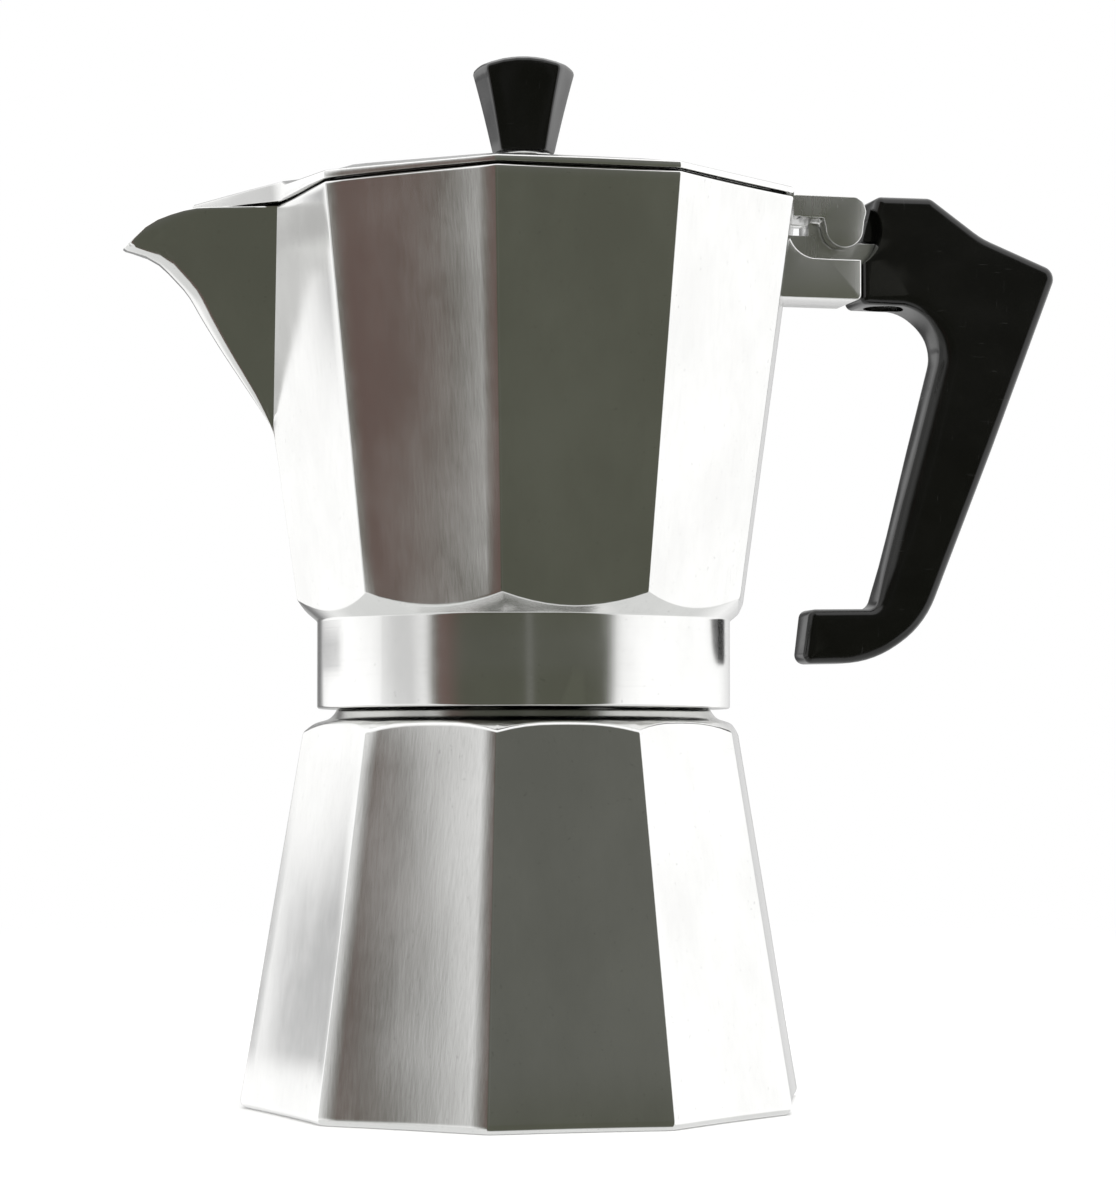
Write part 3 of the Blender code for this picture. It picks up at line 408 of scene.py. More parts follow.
def rounded(corners, step=6.0):
    """Outline through (x, z, radius) corners; the number of points depends on the angles only."""
    out = []
    n = len(corners)
    for i in range(n):
        a, b, c = (Vector(corners[j % n][:2]) for j in (i - 1, i, i + 1))
        radius = corners[i][2]
        u, v = (a - b).normalized(), (c - b).normalized()
        angle = math.acos(max(-1, min(1, u.dot(v))))
        if radius <= 0 or angle > math.radians(178.5):
            out.append(tuple(b))
            continue
        reach = radius / math.tan(angle / 2)
        centre = b + (u + v).normalized() * (radius / math.sin(angle / 2))
        p, q = b + u * reach - centre, b + v * reach - centre
        a0 = math.atan2(p.y, p.x)
        turn = (math.atan2(q.y, q.x) - a0 + math.pi) % (2 * math.pi) - math.pi
        steps = max(2, round((180.0 - math.degrees(angle)) / step))
        for k in range(steps + 1):
            t = a0 + turn * k / steps
            out.append((centre.x + radius * math.cos(t), centre.y + radius * math.sin(t)))
    return out


def slab(name, corners, half, mat, edge=1.0, segs=5, step=6.0, warp=None, y0=None, y1=None, sharp=32.0, soft=None):
    """Flat piece in XZ with rounded edges. half(x, z) is its half thickness, or y0 and y1 are its faces.

    soft(point) makes the rounding larger on some edges.
    """
    rings = []
    layers = []
    for k in range(segs + 1):
        a = math.pi / 2 * k / segs
        layers.append((edge * (1 - math.sin(a)), edge * (1 - math.cos(a)), -1))
    layers += [(i, less, 1) for i, less, _ in layers[::-1]]
    outer = rounded(offset_corners(corners, 0.0), step)
    factors = [soft(Vector(p)) if soft else 1.0 for p in outer]
    for inset, less, sign in layers:
        ring = []
        for (x, z), more in zip(rounded(offset_corners(corners, inset, soft), step), factors):
            if half is not None:
                y = sign * (half(x, z) - less * more)
            else:
                y = (y0 + less) if sign < 0 else (y1 - less)
            p = (x, y, z)
            ring.append(warp(p) if warp else p)
        rings.append(ring)
    bm = bmesh.new()
    made = [[bm.verts.new(Vector(p) * MM) for p in ring] for ring in rings]
    n = len(made[0])
    for a, b in zip(made, made[1:]):
        for i in range(n):
            j = (i + 1) % n
            bm.faces.new((a[i], a[j], b[j], b[i]))
    flat = [Vector(p) for p in rounded(offset_corners(corners, edge, soft), step)]
    inner = inner_points(flat, 4.0) if half is not None else []
    coords, _, tris, origin, _, _ = delaunay_2d_cdt(flat + inner, [], [list(range(n))], 1, 1e-6)
    for side, ring in ((-1, made[0]), (1, made[-1])):
        verts = []
        for k, co in enumerate(coords):
            old = [o for o in origin[k] if o < n]
            if old:
                verts.append(ring[old[0]])
            else:
                y = side * half(co.x, co.y) if half is not None else (y0 if side < 0 else y1)
                p = (co.x, y, co.y)
                verts.append(bm.verts.new(Vector(warp(p) if warp else p) * MM))
        for tri in tris:
            bm.faces.new([verts[t] for t in (tri if side > 0 else tri[::-1])])
    return link(name, bm, mat, sharp)


def inner_points(outline, gap):
    """Points of a staggered grid inside an outline, clear of its edge."""
    out = []
    xs, ys = [p.x for p in outline], [p.y for p in outline]
    y, odd = min(ys) + gap / 2, 0
    while y < max(ys):
        x = min(xs) + (gap / 2 if odd else gap)
        while x < max(xs):
            inside = False
            near = 1e9
            for i, a in enumerate(outline):
                b = outline[(i + 1) % len(outline)]
                if (a.y > y) != (b.y > y) and x < a.x + (b.x - a.x) * (y - a.y) / (b.y - a.y):
                    inside = not inside
                ab = b - a
                t = max(0.0, min(1.0, (Vector((x, y)) - a).dot(ab) / max(1e-9, ab.length_squared)))
                near = min(near, (a + ab * t - Vector((x, y))).length)
            if inside and near > gap * 0.45:
                out.append(Vector((x, y)))
            x += gap
        y += gap * 0.866
        odd = not odd
    return out


def cut(obj, tools, operation="DIFFERENCE", sharp=32.0):
    """Exact Boolean, applied, with the tools removed."""
    for tool in tools:
        mod = obj.modifiers.new("cut", "BOOLEAN")
        mod.operation = operation
        mod.solver = "EXACT"
        mod.object = tool
    bpy.context.view_layer.update()
    deps = bpy.context.evaluated_depsgraph_get()
    mesh = bpy.data.meshes.new_from_object(obj.evaluated_get(deps))
    obj.modifiers.clear()
    old = obj.data
    obj.data = mesh
    bpy.data.meshes.remove(old)
    mesh.shade_smooth()
    mesh.set_sharp_from_angle(angle=math.radians(sharp))
    for tool in tools:
        data = tool.data
        bpy.data.objects.remove(tool, do_unlink=True)
        bpy.data.meshes.remove(data)
    return obj


def block(name, centre, size):
    bm = bmesh.new()
    bmesh.ops.create_cube(bm, size=1.0)
    for v in bm.verts:
        v.co = Vector((centre[i] + v.co[i] * size[i] for i in range(3))) * MM
    return link(name, bm, None)


def along_y(x, z):
    turn = Matrix.Rotation(math.radians(-90), 4, "X")
    turn.translation = Vector((x, 0, z)) * MM
    return turn


def at_xy(x, y):
    return Matrix.Translation(Vector((x, y, 0)) * MM)


def give(obj, body, slot, *nodes):
    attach(obj, body)
    if nodes:
        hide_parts(*nodes)
    return obj


def solve(f, lo, hi):
    for _ in range(40):
        mid = (lo + hi) / 2
        if f(mid) > 0:
            hi = mid
        else:
            lo = mid
    return (lo + hi) / 2


def smooth(points, x):
    """Monotone cubic through a table."""
    if x <= points[0][0]:
        return points[0][1]
    if x >= points[-1][0]:
        return points[-1][1]
    k = 0
    while x > points[k + 1][0]:
        k += 1

    def slope(i):
        if i <= 0 or i >= len(points) - 1:
            j = 0 if i <= 0 else len(points) - 2
            return (points[j + 1][1] - points[j][1]) / (points[j + 1][0] - points[j][0])
        h0, h1 = points[i][0] - points[i - 1][0], points[i + 1][0] - points[i][0]
        s0, s1 = (points[i][1] - points[i - 1][1]) / h0, (points[i + 1][1] - points[i][1]) / h1
        if s0 * s1 <= 0:
            return 0.0
        w0, w1 = 2 * h1 + h0, h1 + 2 * h0
        return (w0 + w1) / (w0 / s0 + w1 / s1)

    (x0, y0), (x1, y1) = points[k], points[k + 1]
    h = x1 - x0
    t = (x - x0) / h
    m0, m1 = slope(k) * h, slope(k + 1) * h
    return (2 * t**3 - 3 * t**2 + 1) * y0 + (t**3 - 2 * t**2 + t) * m0 + (3 * t**2 - 2 * t**3) * y1 + (t**3 - t**2) * m1


# ------------------------------------------------------------------ ten-sided outline
CORNER_ROUND = 0.017  # radius of a vertical edge, as a share of the corner radius
ARC_N, FACE_N = 4, 9
SAG = 0.0075  # the ground faces are a little hollow


def corner_arc(k, turn=0.0, lo=0, hi=ARC_N):
    a = turn + k * SEG
    centre = Vector((math.cos(a), math.sin(a))) * (1 - CORNER_ROUND / HC)
    return [
        centre + CORNER_ROUND * Vector((math.cos(a - SEG / 2 + SEG * i / ARC_N), math.sin(a - SEG / 2 + SEG * i / ARC_N)))
        for i in range(lo, hi + 1)
    ]


def face_points(a, b, count=FACE_N, sag=SAG):
    side = (b - a)
    inward = Vector((-side.y, side.x)).normalized()
    if inward.dot(-(a + b)) < 0:
        inward = -inward
    out = []
    for j in range(1, count + 1):
        t = j / (count + 1)
        out.append(a.lerp(b, t) + inward * (sag * 4 * t * (1 - t)))
    return out


def unit_outline(turn=0.0):
    pts = []
    for k in range(SIDES):
        arc, following = corner_arc(k, turn), corner_arc(k + 1, turn)
        pts += arc + face_points(arc[-1], following[0])
    return pts


# ------------------------------------------------------------------ boiler
def boiler_r(z):
    return 52.7 - 0.1705 * z


SHOULDER = [(44.0, 65.6), (41.25, 67.95), (39.0, 69.6), (37.6, 70.1), (36.2, 70.5), (35.2, 71.2), (34.7, 72.1)]
SHOULDER_BY_R = [(r, z) for r, z in reversed(SHOULDER)]


def thread(theta, z, z0, z1, root, crest, lead=3.0, hand=1.0):
    """Radius of a rounded screw thread that fades out at both ends."""
    phase = (z / lead - hand * theta / (2 * math.pi)) % 1.0
    tooth = 0.5 + 0.5 * math.cos(2 * math.pi * (phase - 0.5))
    tooth = max(0.0, min(1.0, (tooth - 0.18) / 0.64))
    fade = max(0.0, min(1.0, (z - z0) / 1.5)) * max(0.0, min(1.0, (z1 - z) / 1.5))
    return root + (crest - root) * tooth * fade


def make_boiler():
    outline = unit_outline(BOILER_TURN)
    columns = [(p.normalized(), p.length) for p in outline]
    profiles = []
    for d, c in columns:
        theta = math.atan2(d.y, d.x)

        def wall(z, less=0.0):
            return boiler_r(z) * c - less

        z_top = solve(lambda h: wall(h) - solve_shoulder(h), 64.0, 72.0)
        r_top = wall(z_top)
        pts = [
            (8.0, 0.9, 0.0),
            (22.0, 0.9, 0.0),
            (36.5, 0.9, 0.5),
            (37.6, 0.0, 0.5),
            (wall(0.0) - 1.0, 0.0, 0.0),
        ]
        pts[-1] = (wall(0.0), 0.0, 1.5)
        line = fillet(pts + [(r_top, z_top, 1.3), (r_top - 1.6, smooth(SHOULDER_BY_R, r_top - 1.6), 0.0)], segs=5)
        # more points up the flat wall, so that its slight waves and rounding read well
        k = next(i for i in range(len(line) - 1) if line[i + 1][1] - line[i][1] > 20)
        lower, upper = line[: k + 1], line[k + 1 :]
        (ra, za), (rb, zb) = lower[-1], upper[0]
        line = lower + [(ra + (rb - ra) * t, za + (zb - za) * t) for t in (0.15, 0.3, 0.45, 0.6, 0.75, 0.9)] + upper
        r_a = line[-1][0]
        for s in (0.25, 0.5, 0.75, 1.0):
            r = r_a + (36.2 - r_a) * s
            line.append((r, smooth(SHOULDER_BY_R, r)))
        line += [(35.6, 70.85), (35.0, 71.5), (34.5, 72.3), (33.9, 72.9), (33.4, 73.3)]
        z = 73.6
        while z < 82.95:
            line.append((thread(theta, z, 73.6, 83.0, 33.35, 34.2), z))
            z += 0.3
        line += fillet([(33.4, 83.05, 0), (33.4, 84.0, 0.5), (31.6, 84.0, 0.4), (31.5, 83.0, 0)], segs=3)
        line += [(31.5, 78.0), (31.5, 71.6)]
        line += fillet([(31.5, 71.2, 0), (wall(66.0, BOILER_WALL + 0.4), 66.0, 2.5), (wall(55.0, BOILER_WALL), 55.0, 0)], segs=4)
        line += [(wall(30.0, BOILER_WALL), 30.0)]
        line += fillet([(wall(14.0, BOILER_WALL), 14.0, 0), (wall(3.0, BOILER_WALL), 3.0, 5.0), (26.0, 3.0, 0)], segs=5)
        line += [(10.0, 3.0)]
        profiles.append([(d.x * r, d.y * r, z) for r, z in line])
    rows = [list(row) for row in zip(*profiles)]
    return grid("boiler_shell", rows, M_BOILER, start=(0, 0, 0.9), end=(0, 0, 3.0), sharp=34.0)


def solve_shoulder(z):
    """Radius of the turned shoulder at a height."""
    for (r0, z0), (r1, z1) in zip(SHOULDER, SHOULDER[1:]):
        if z <= z1:
            return r0 + (r1 - r0) * (z - z0) / (z1 - z0)
    return SHOULDER[-1][0]


# ------------------------------------------------------------------ collector
def jug_r(z):
    return 42.4 + 0.142 * (z - 92.2)


SPOUT_Z0, SPOUT_SPREAD = 123.0, 0.35
KEEL = [(123.0, 46.77), (123.9, 47.3), (130.7, 51.8), (137.9, 56.65), (143.0, 59.85), (147.5, 62.6), (150.1, 65.0), (152.9, 68.1), (154.4, 71.3), (155.0, 74.0), (156.0, 74.9), (166.0, 76.0)]
LIP = [(0.0, 164.2), (16.0, 164.1), (42.5, 163.4), (48.5, 162.0), (61.0, 162.1), (67.1, 160.8), (70.6, 159.0), (73.1, 156.6), (74.9, 155.0), (80.0, 150.0)]
SIDE_DIR = (Vector((-math.cos(SEG), math.sin(SEG))) - Vector((-1.0, 0.0))).normalized()
SIDE_IN = Vector((SIDE_DIR.y, -SIDE_DIR.x))
WALL_STEPS, ARC_STEPS = 11, 8


def spout_half(z, wall):
    """Points from the crease to the keel on the +Y side."""
    r = jug_r(z)
    tip = Vector((-r, 0.0))
    crease = tip + SIDE_DIR * max(0.3, SPOUT_SPREAD * (z - SPOUT_Z0))
    keel = smooth(KEEL, z) if z > SPOUT_Z0 else r - 0.04
    keel = max(keel, r - 0.04)
    dx, dy = crease.x + keel, crease.y
    radius = 0.9 + 2.8 * max(0.0, min(1.0, (z - SPOUT_Z0) / 26.0))
    radius = max(0.1, min(radius, 0.9 * (dx * dx + dy * dy) / (2 * max(dx, 1e-3)), 0.72 * dy))
    centre = Vector((-(keel - radius), 0.0))
    to_c = centre - crease
    dist = to_c.length
    a = math.asin(min(0.999, radius / dist))
    base = math.atan2(to_c.y, to_c.x)
    direction = Vector((math.cos(base - a), math.sin(base - a)))
    touch = crease + direction * math.sqrt(max(0.0, dist * dist - radius * radius))
    inward = Vector((-direction.y, direction.x))
    if inward.dot(centre - touch) < 0:
        inward = -inward
    if wall > 0:
        both = (SIDE_IN + inward).normalized()
        crease = crease + both * (wall / max(0.5, both.dot(inward)))
        q = touch + inward * wall
        rad = max(radius - wall, 0.3)
        centre = Vector((q.x + (rad + q.y * inward.y) / inward.x, 0.0))
        touch = centre - inward * rad
        radius = rad
    out = [crease.lerp(touch, k / WALL_STEPS) for k in range(WALL_STEPS)]
    a0 = math.atan2(touch.y, touch.x - centre.x)
    for k in range(ARC_STEPS + 1):
        t = a0 + (math.pi - a0) * k / ARC_STEPS
        out.append(centre + radius * Vector((math.cos(t), math.sin(t))))
    return out


def jug_section(z, wall):
    """The whole horizontal section, as points round the axis."""
    size = jug_r(z) - wall / HC
    pts = []
    for k in range(4):
        arc, following = corner_arc(k), corner_arc(k + 1)
        pts += [p * size for p in arc + face_points(arc[-1], following[0])]
    last = corner_arc(4)
    pts += [p * size for p in last]
    spout = spout_half(z, wall)
    facet = face_points(last[-1] * size, spout[0], FACE_N, SAG * size)
    half = facet + spout
    pts += half
    pts += [Vector((p.x, -p.y)) for p in half[-2::-1]]
    for k in range(6, 10):
        arc, following = corner_arc(k), corner_arc(k + 1)
        pts += [p * size for p in arc + face_points(arc[-1], following[0])]
    return pts


def make_collector():
    low = jug_section(92.2, 0.0)
    n = len(low)
    directions = [p.normalized() for p in low]
    shares = [p.length / 42.4 for p in low]
    cache = {}

    def section(z, wall):
        key = (round(z, 5), round(wall, 4))
        if key not in cache:
            cache[key] = jug_section(z, wall)
        return cache[key]

    tops = []
    for i in range(n):
        lo, hi = 150.0, 166.0
        for _ in range(22):
            mid = (lo + hi) / 2
            if mid - smooth(LIP, max(0.0, -jug_section_at(i, mid).x)) > 0:
                hi = mid
            else:
                lo = mid
        tops.append((lo + hi) / 2)

    # lower part: every column is radial
    profiles = []
    for i in range(n):
        d, s = directions[i], shares[i]
        theta = math.atan2(d.y, d.x)
        line = []
        z = 84.6
        while z > 74.3:
            line.append((70.0 - thread(theta, z, 74.3, 84.6, 34.6, 35.4), z))
            z -= 0.3
        line += fillet([(34.7, 74.2, 0), (34.9, 72.5, 0.35), (COLLAR_R, 72.5, 0.45), (COLLAR_R, 80.0, 0)], segs=3)
        z_s = solve(lambda h: (h - COLLAR_Z1) - 0.85 * (jug_r(h) * s - COLLAR_R), 86.0, 98.0)
        r_s = jug_r(z_s) * s
        line += fillet(
            [(COLLAR_R, 84.0, 0), (COLLAR_R, COLLAR_Z1, 0.7), (r_s, z_s, 1.1), (jug_r(z_s + 7.0) * s, z_s + 7.0, 0)],
            segs=5,
        )
        line.append((jug_r(103.0) * s, 103.0))
        profiles.append([(d.x * r, d.y * r, z) for r, z in line])
    rows = [list(row) for row in zip(*profiles)]

    z_a = 110.0

    def band(t, wall, drop=0.0):
        row = []
        for i in range(n):
            z = z_a + (tops[i] - z_a) * t - drop
            p = jug_section_at(i, z - 1.4 * wall / 1.85, wall)
            row.append((p.x, p.y, z))
        return row

    up = [0.0, 0.08, 0.16, 0.22, 0.27]
    up += [0.27 + 0.73 * (k / 22) ** 0.93 for k in range(1, 22)]
    rows += [band(t, 0.0) for t in up]
    rows += [
        band(1.0, 0.0, 0.55),
        band(1.0, 0.04, 0.25),
        band(1.0, 0.16, 0.07),
        band(1.0, 0.4, 0.0),
        band(1.0, 1.5, 0.0),
        band(1.0, 1.75, 0.08),
        band(1.0, 1.85, 0.35),
    ]
    rows += [band(t, 1.85) for t in up[::-1]]
    for z, w in ((98.0, JUG_WALL), (95.0, JUG_WALL + 0.2), (93.4, JUG_WALL + 0.9), (92.4, JUG_WALL + 2.2), (FLOOR_TOP, JUG_WALL + 4.2)):
        rows.append([(p.x, p.y, z) for p in section(z, w)])
    for r, z in ((26.0, FLOOR_TOP), (14.0, FLOOR_TOP), (FLOOR_HOLE + 0.3, FLOOR_TOP), (FLOOR_HOLE, FLOOR_TOP - 0.3), (FLOOR_HOLE, FLOOR_UNDER), (20.0, FLOOR_UNDER), (34.4, FLOOR_UNDER), (34.6, FLOOR_UNDER - 0.3), (34.6, 86.0)):
        rows.append([(d.x * r, d.y * r, z) for d in directions])
    return grid("jug_shell", rows, M_JUG, wrap=True, sharp=34.0)


def jug_section_at(i, z, wall=0.0):
    """One point of the section; the count before the spout half is fixed."""
    size = jug_r(z) - wall / HC
    if i < len(PLAIN_A):
        return PLAIN_A[i] * size
    j = i - len(PLAIN_A)
    half = FACE_N + WALL_STEPS + ARC_STEPS + 1
    full = 2 * half - 1
    if j >= full:
        return PLAIN_B[j - full] * size
    mirror = j >= half
    if mirror:
        j = 2 * half - 2 - j
    if j >= FACE_N:
        p = spout_cached(z, wall)[j - FACE_N]
    else:
        a, b = LAST_ARC * size, spout_cached(z, wall)[0]
        t = (j + 1) / (FACE_N + 1)
        side = b - a
        inward = Vector((-side.y, side.x)).normalized()
        if inward.dot(-(a + b)) < 0:
            inward = -inward
        p = a.lerp(b, t) + inward * (SAG * size * 4 * t * (1 - t))
    return Vector((p.x, -p.y)) if mirror else p


_spouts = {}


def spout_cached(z, wall):
    key = (round(z, 6), round(wall, 4))
    if key not in _spouts:
        _spouts[key] = spout_half(z, wall)
    return _spouts[key]


PLAIN_A = []
for _k in range(4):
    _arc, _next = corner_arc(_k), corner_arc(_k + 1)
    PLAIN_A += _arc + face_points(_arc[-1], _next[0])
PLAIN_A += corner_arc(4)
LAST_ARC = PLAIN_A[-1]
PLAIN_B = []
for _k in range(6, 10):
    _arc, _next = corner_arc(_k), corner_arc(_k + 1)
    PLAIN_B += _arc + face_points(_arc[-1], _next[0])


def make_lug():
    """Cast lug behind the rim: block with two cradles, tongue with the pin hole, and the tang."""
    lean = math.tan(SEG / 2)

    def warp(p):
        x, y, z = p
        if x < 57.5:
            x -= abs(y) * lean
        return (x, y, z)

    corners = [(63.9, 157.3, 0.25), (57.6, 157.3, 0.2)]
    for k in range(1, 10):
        t = math.radians(-90 - 8.5 * k)
        corners.append((57.2 + 5.6 * math.cos(t), 162.9 + 5.6 * math.sin(t), 0))
    corners += [(jug_r(162.6) - 1.3, 162.6, 0), (jug_r(158.0) - 1.3, 158.0, 0), (jug_r(149.7) - 1.3, 149.7, 0), (63.9, 149.7, 0.9)]
    lug = slab("lug_block", corners, None, M_LUG, edge=0.35, segs=3, warp=warp, y0=-EAR_OUT, y1=EAR_OUT)
    tongue = [(PIN_X + KNUCKLE_R * math.cos(math.radians(a)), PIN_Z + KNUCKLE_R * math.sin(math.radians(a)), 0) for a in range(0, 181, 6)]
    tongue += [(PIN_X - KNUCKLE_R, 164.6, 0), (jug_r(162.0) + 2.2, 164.6, 0.5), (jug_r(162.0) + 2.2, 162.0, 0), (jug_r(162.0) - 1.3, 162.0, 0), (jug_r(156.8) - 1.3, 156.8, 0)]
    tongue += [(PIN_X - KNUCKLE_R, 156.8, 0), (PIN_X - KNUCKLE_R, 153.0, 0), (61.0, 153.0, 0), (61.0, 155.0, 0), (73.6, 155.0, 0.6), (73.6, 161.0, 0.8), (64.6, 161.0, 0.3)]
    tongue_obj = slab("lug_tongue", tongue, None, M_LUG, edge=0.25, segs=3, y0=-TONGUE_HALF, y1=TONGUE_HALF)
    hole = lathe("cut_pin", [(0, -8.0), (PIN_R + 0.05, -8.0), (PIN_R + 0.05, 8.0), (0, 8.0)], None, 40, along_y(PIN_X, PIN_Z))
    screw = lathe("cut_screw", [(0, 154.0), (2.2, 154.0), (2.2, 160.0), (0, 160.0)], None, 40, at_xy(70.4, 0))
    cut(tongue_obj, [hole, screw])
    return lug, tongue_obj


# ------------------------------------------------------------------ lid
def make_lid():
    half = []

    def edge(p, beak):
        x = p.x
        if beak:
            share = max(0.0, (-x - 47.8) / (BEAK_TIP - 47.8))
            return (p.x, p.y, 162.5, 166.0 - 2.2 * share, True)
        under = smooth(LIP, max(0.0, -x)) + 0.5
        upper = 165.9 - 0.0125 * max(0.0, -x)
        return (p.x, p.y, min(under, upper - 1.1), upper, False)

    for k in range(4):
        arc, following = corner_arc(k), corner_arc(k + 1)
        if k == 0:
            arc = corner_arc(0, lo=ARC_N // 2)
        half += [edge(p * LID_R, False) for p in arc + face_points(corner_arc(k)[-1], following[0], FACE_N, 0.0)]
    arc = corner_arc(4)
    half += [edge(p * LID_R, False) for p in arc]
    a = Vector((math.cos(4 * SEG), math.sin(4 * SEG))) * LID_R
    b = Vector((-LID_R, 0.0))
    corner = a.lerp(b, BEAK_SHARE)
    start = arc[-1] * LID_R
    for t in (0.3, 0.6, 0.88):
        half.append(edge(start.lerp(corner, t), False))
    tip = Vector((-BEAK_TIP, 0.0))
    for t in (0.0, 0.12, 0.25, 0.38, 0.5, 0.62, 0.74, 0.85, 0.93, 0.975):
        p = corner.lerp(tip, t)
        p.y += 0.5 * math.sin(math.pi * min(1.0, t * 1.02))
        half.append(edge(p, True))
    full = half + [edge(tip, True)] + [(x, -y, lo, hi, bk) for x, y, lo, hi, bk in half[:0:-1]]

    def polar(x, y):
        d = Vector((x, y)).normalized()
        k = math.atan2(y, x) % SEG - SEG / 2
        return d, HC / math.cos(k)

    def ring(corner_r, z):
        row = []
        for x, y, lo, hi, bk in full:
            d, c = polar(x, y)
            k = abs((math.atan2(y, x) + SEG / 2) % SEG - SEG / 2)
            soft = 1.0 - 0.010 * max(0.0, 1.0 - k / 0.09) ** 2
            row.append((d.x * corner_r * c * soft, d.y * corner_r * c * soft, z(lo, hi, bk) if callable(z) else z))
        return row

    def circle(r, z):
        return [(polar(x, y)[0].x * r, polar(x, y)[0].y * r, z) for x, y, *_ in full]

    def cone(corner_r):
        return 166.1 + (LID_APEX - 166.1) * (LID_R - corner_r) / (LID_R - 7.0)

    def lip(lo, hi, bk):
        return 0.0 if bk else 2.0

    def outer(scale, z):
        return [(x * scale, y * scale, z(lo, hi)) for x, y, lo, hi, bk in full]

    rows = [circle(2.3, LID_APEX), circle(6.6, LID_APEX), circle(7.6, LID_APEX - 0.06)]
    for r in (10.0, 14.0, 20.0, 27.0, 34.0, 41.0, 46.0):
        rows.append(ring(r, cone(r) - (0.10 if r < 12 else 0.0)))
    rows += [
        ring(49.3, lambda lo, hi, bk: min(cone(49.3), hi + 0.62)),
        outer(0.987, lambda lo, hi: hi + 0.10),
        outer(0.9935, lambda lo, hi: hi - 0.02),
        outer(0.9985, lambda lo, hi: hi - 0.22),
        outer(1.0, lambda lo, hi: hi - 0.5),
        outer(1.0, lambda lo, hi: lo + 0.25),
        outer(0.9985, lambda lo, hi: lo + 0.08),
        outer(0.995, lambda lo, hi: lo),
        ring(49.0, lambda lo, hi, bk: lo),
        ring(48.8, lambda lo, hi, bk: lo - 0.15 - lip(lo, hi, bk) * 0.8),
        ring(48.4, lambda lo, hi, bk: lo - 0.15 - lip(lo, hi, bk)),
        ring(47.9, lambda lo, hi, bk: lo - 0.15 - lip(lo, hi, bk)),
        ring(47.5, lambda lo, hi, bk: lo - 0.10 - lip(lo, hi, bk) * 0.8),
        ring(47.0, lambda lo, hi, bk: lo + 0.6),
        ring(40.0, cone(40.0) - 1.5),
        ring(28.0, cone(28.0) - 1.4),
        circle(8.0, LID_APEX - 1.6),
        circle(2.3, LID_APEX - 1.6),
    ]
    lid = grid("lid_shell", rows, M_LID, wrap=True, sharp=34.0)

    web = slab(
        "lid_lugs",
        [(48.6, 165.05, 0), (55.6, 165.05, 0), (55.6, 169.15, 0), (50.2, 169.15, 1.2)],
        None, M_LUG, edge=0.25, segs=3, y0=-EAR_OUT, y1=EAR_OUT,
    )
    ear = [(52.0, 164.9, 0), (PIN_X - KNUCKLE_R - 0.4, 164.9, 0.4)]
    ear += [(PIN_X + KNUCKLE_R * math.cos(math.radians(t)), PIN_Z + KNUCKLE_R * math.sin(math.radians(t)), 0) for t in range(180, 361, 6)]
    ear += [(64.5, 164.6, 0.4), (64.95, 166.4, 1.6), (64.4, 168.2, 1.6), (62.9, 169.15, 1.2), (52.0, 169.15, 0)]
    ears = [
        slab(name, ear, None, M_LUG, edge=0.25, segs=3, y0=y0, y1=y1)
        for name, y0, y1 in (("ear_near", -EAR_OUT, -EAR_IN), ("ear_far", EAR_IN, EAR_OUT))
    ]
    y0 = -(EAR_OUT - 0.8)
    hole = lathe("cut_ear", [(0, y0), (PIN_R + 0.05, y0), (PIN_R + 0.05, 9.0), (0, 9.0)], None, 40, along_y(PIN_X, PIN_Z))
    cut(web, ears, "UNION")
    cut(web, [hole])
    return [lid, web]


# ------------------------------------------------------------------ knob
KNOB_TOP = [(-6.7, 7.6), (-9.5, 0.0), (-6.7, -7.6), (6.7, -7.6), (9.5, 0.0), (6.7, 7.6)]
KNOB_TURN = math.radians(-13.0)
KNOB_BOTTOM, KNOB_APEX, KNOB_DOME_R = 175.6, 193.5, 20.0


def make_knob():
    flat = fillet([(x, y, 0.75) for x, y in KNOB_TOP], closed=True, segs=4)
    dense = []
    for i, p in enumerate(flat):
        q = flat[(i + 1) % len(flat)]
        gap = (Vector(q) - Vector(p)).length
        steps = 5 if gap > 3 else 1
        dense += [Vector(p).lerp(Vector(q), t / steps) for t in range(steps)]
    c, s = math.cos(KNOB_TURN), math.sin(KNOB_TURN)
    sides = [Vector((p.x * c - p.y * s, p.x * s + p.y * c)) for p in dense]

    def dome(p):
        return KNOB_APEX - (KNOB_DOME_R - math.sqrt(KNOB_DOME_R**2 - p.length_squared))

    def hole(r, z):
        return [(p.normalized().x * r, p.normalized().y * r, z) for p in sides]

    def outline(scale, z=None, drop=0.0):
        return [(p.x * scale, p.y * scale, (dome(p * scale) - drop) if z is None else z) for p in sides]

    rows = [hole(3.5, 187.3), hole(3.5, KNOB_BOTTOM + 0.3), hole(3.8, KNOB_BOTTOM), outline(0.575, KNOB_BOTTOM), outline(0.600, KNOB_BOTTOM + 0.15), outline(0.615, KNOB_BOTTOM + 0.5)]
    top_row = outline(0.990, None, 0.85)
    low_row = rows[-1]
    for t in (0.12, 0.3, 0.5, 0.7, 0.88, 1.0):
        # the sides are very slightly hollow along their height
        pull = 1.0 - 0.012 * math.sin(math.pi * t)
        rows.append([((a[0] + (b[0] - a[0]) * t) * pull, (a[1] + (b[1] - a[1]) * t) * pull, a[2] + (b[2] - a[2]) * t) for a, b in zip(low_row, top_row)])
    rows += [outline(0.988, None, 0.55), outline(0.980, None, 0.28), outline(0.963, None, 0.10), outline(0.94, None, 0.02), outline(0.8), outline(0.6), outline(0.4), outline(0.2)]
    return grid("knob_moulding", rows, M_BLACK, start=(0, 0, 187.3), end=(0, 0, KNOB_APEX), sharp=30.0)


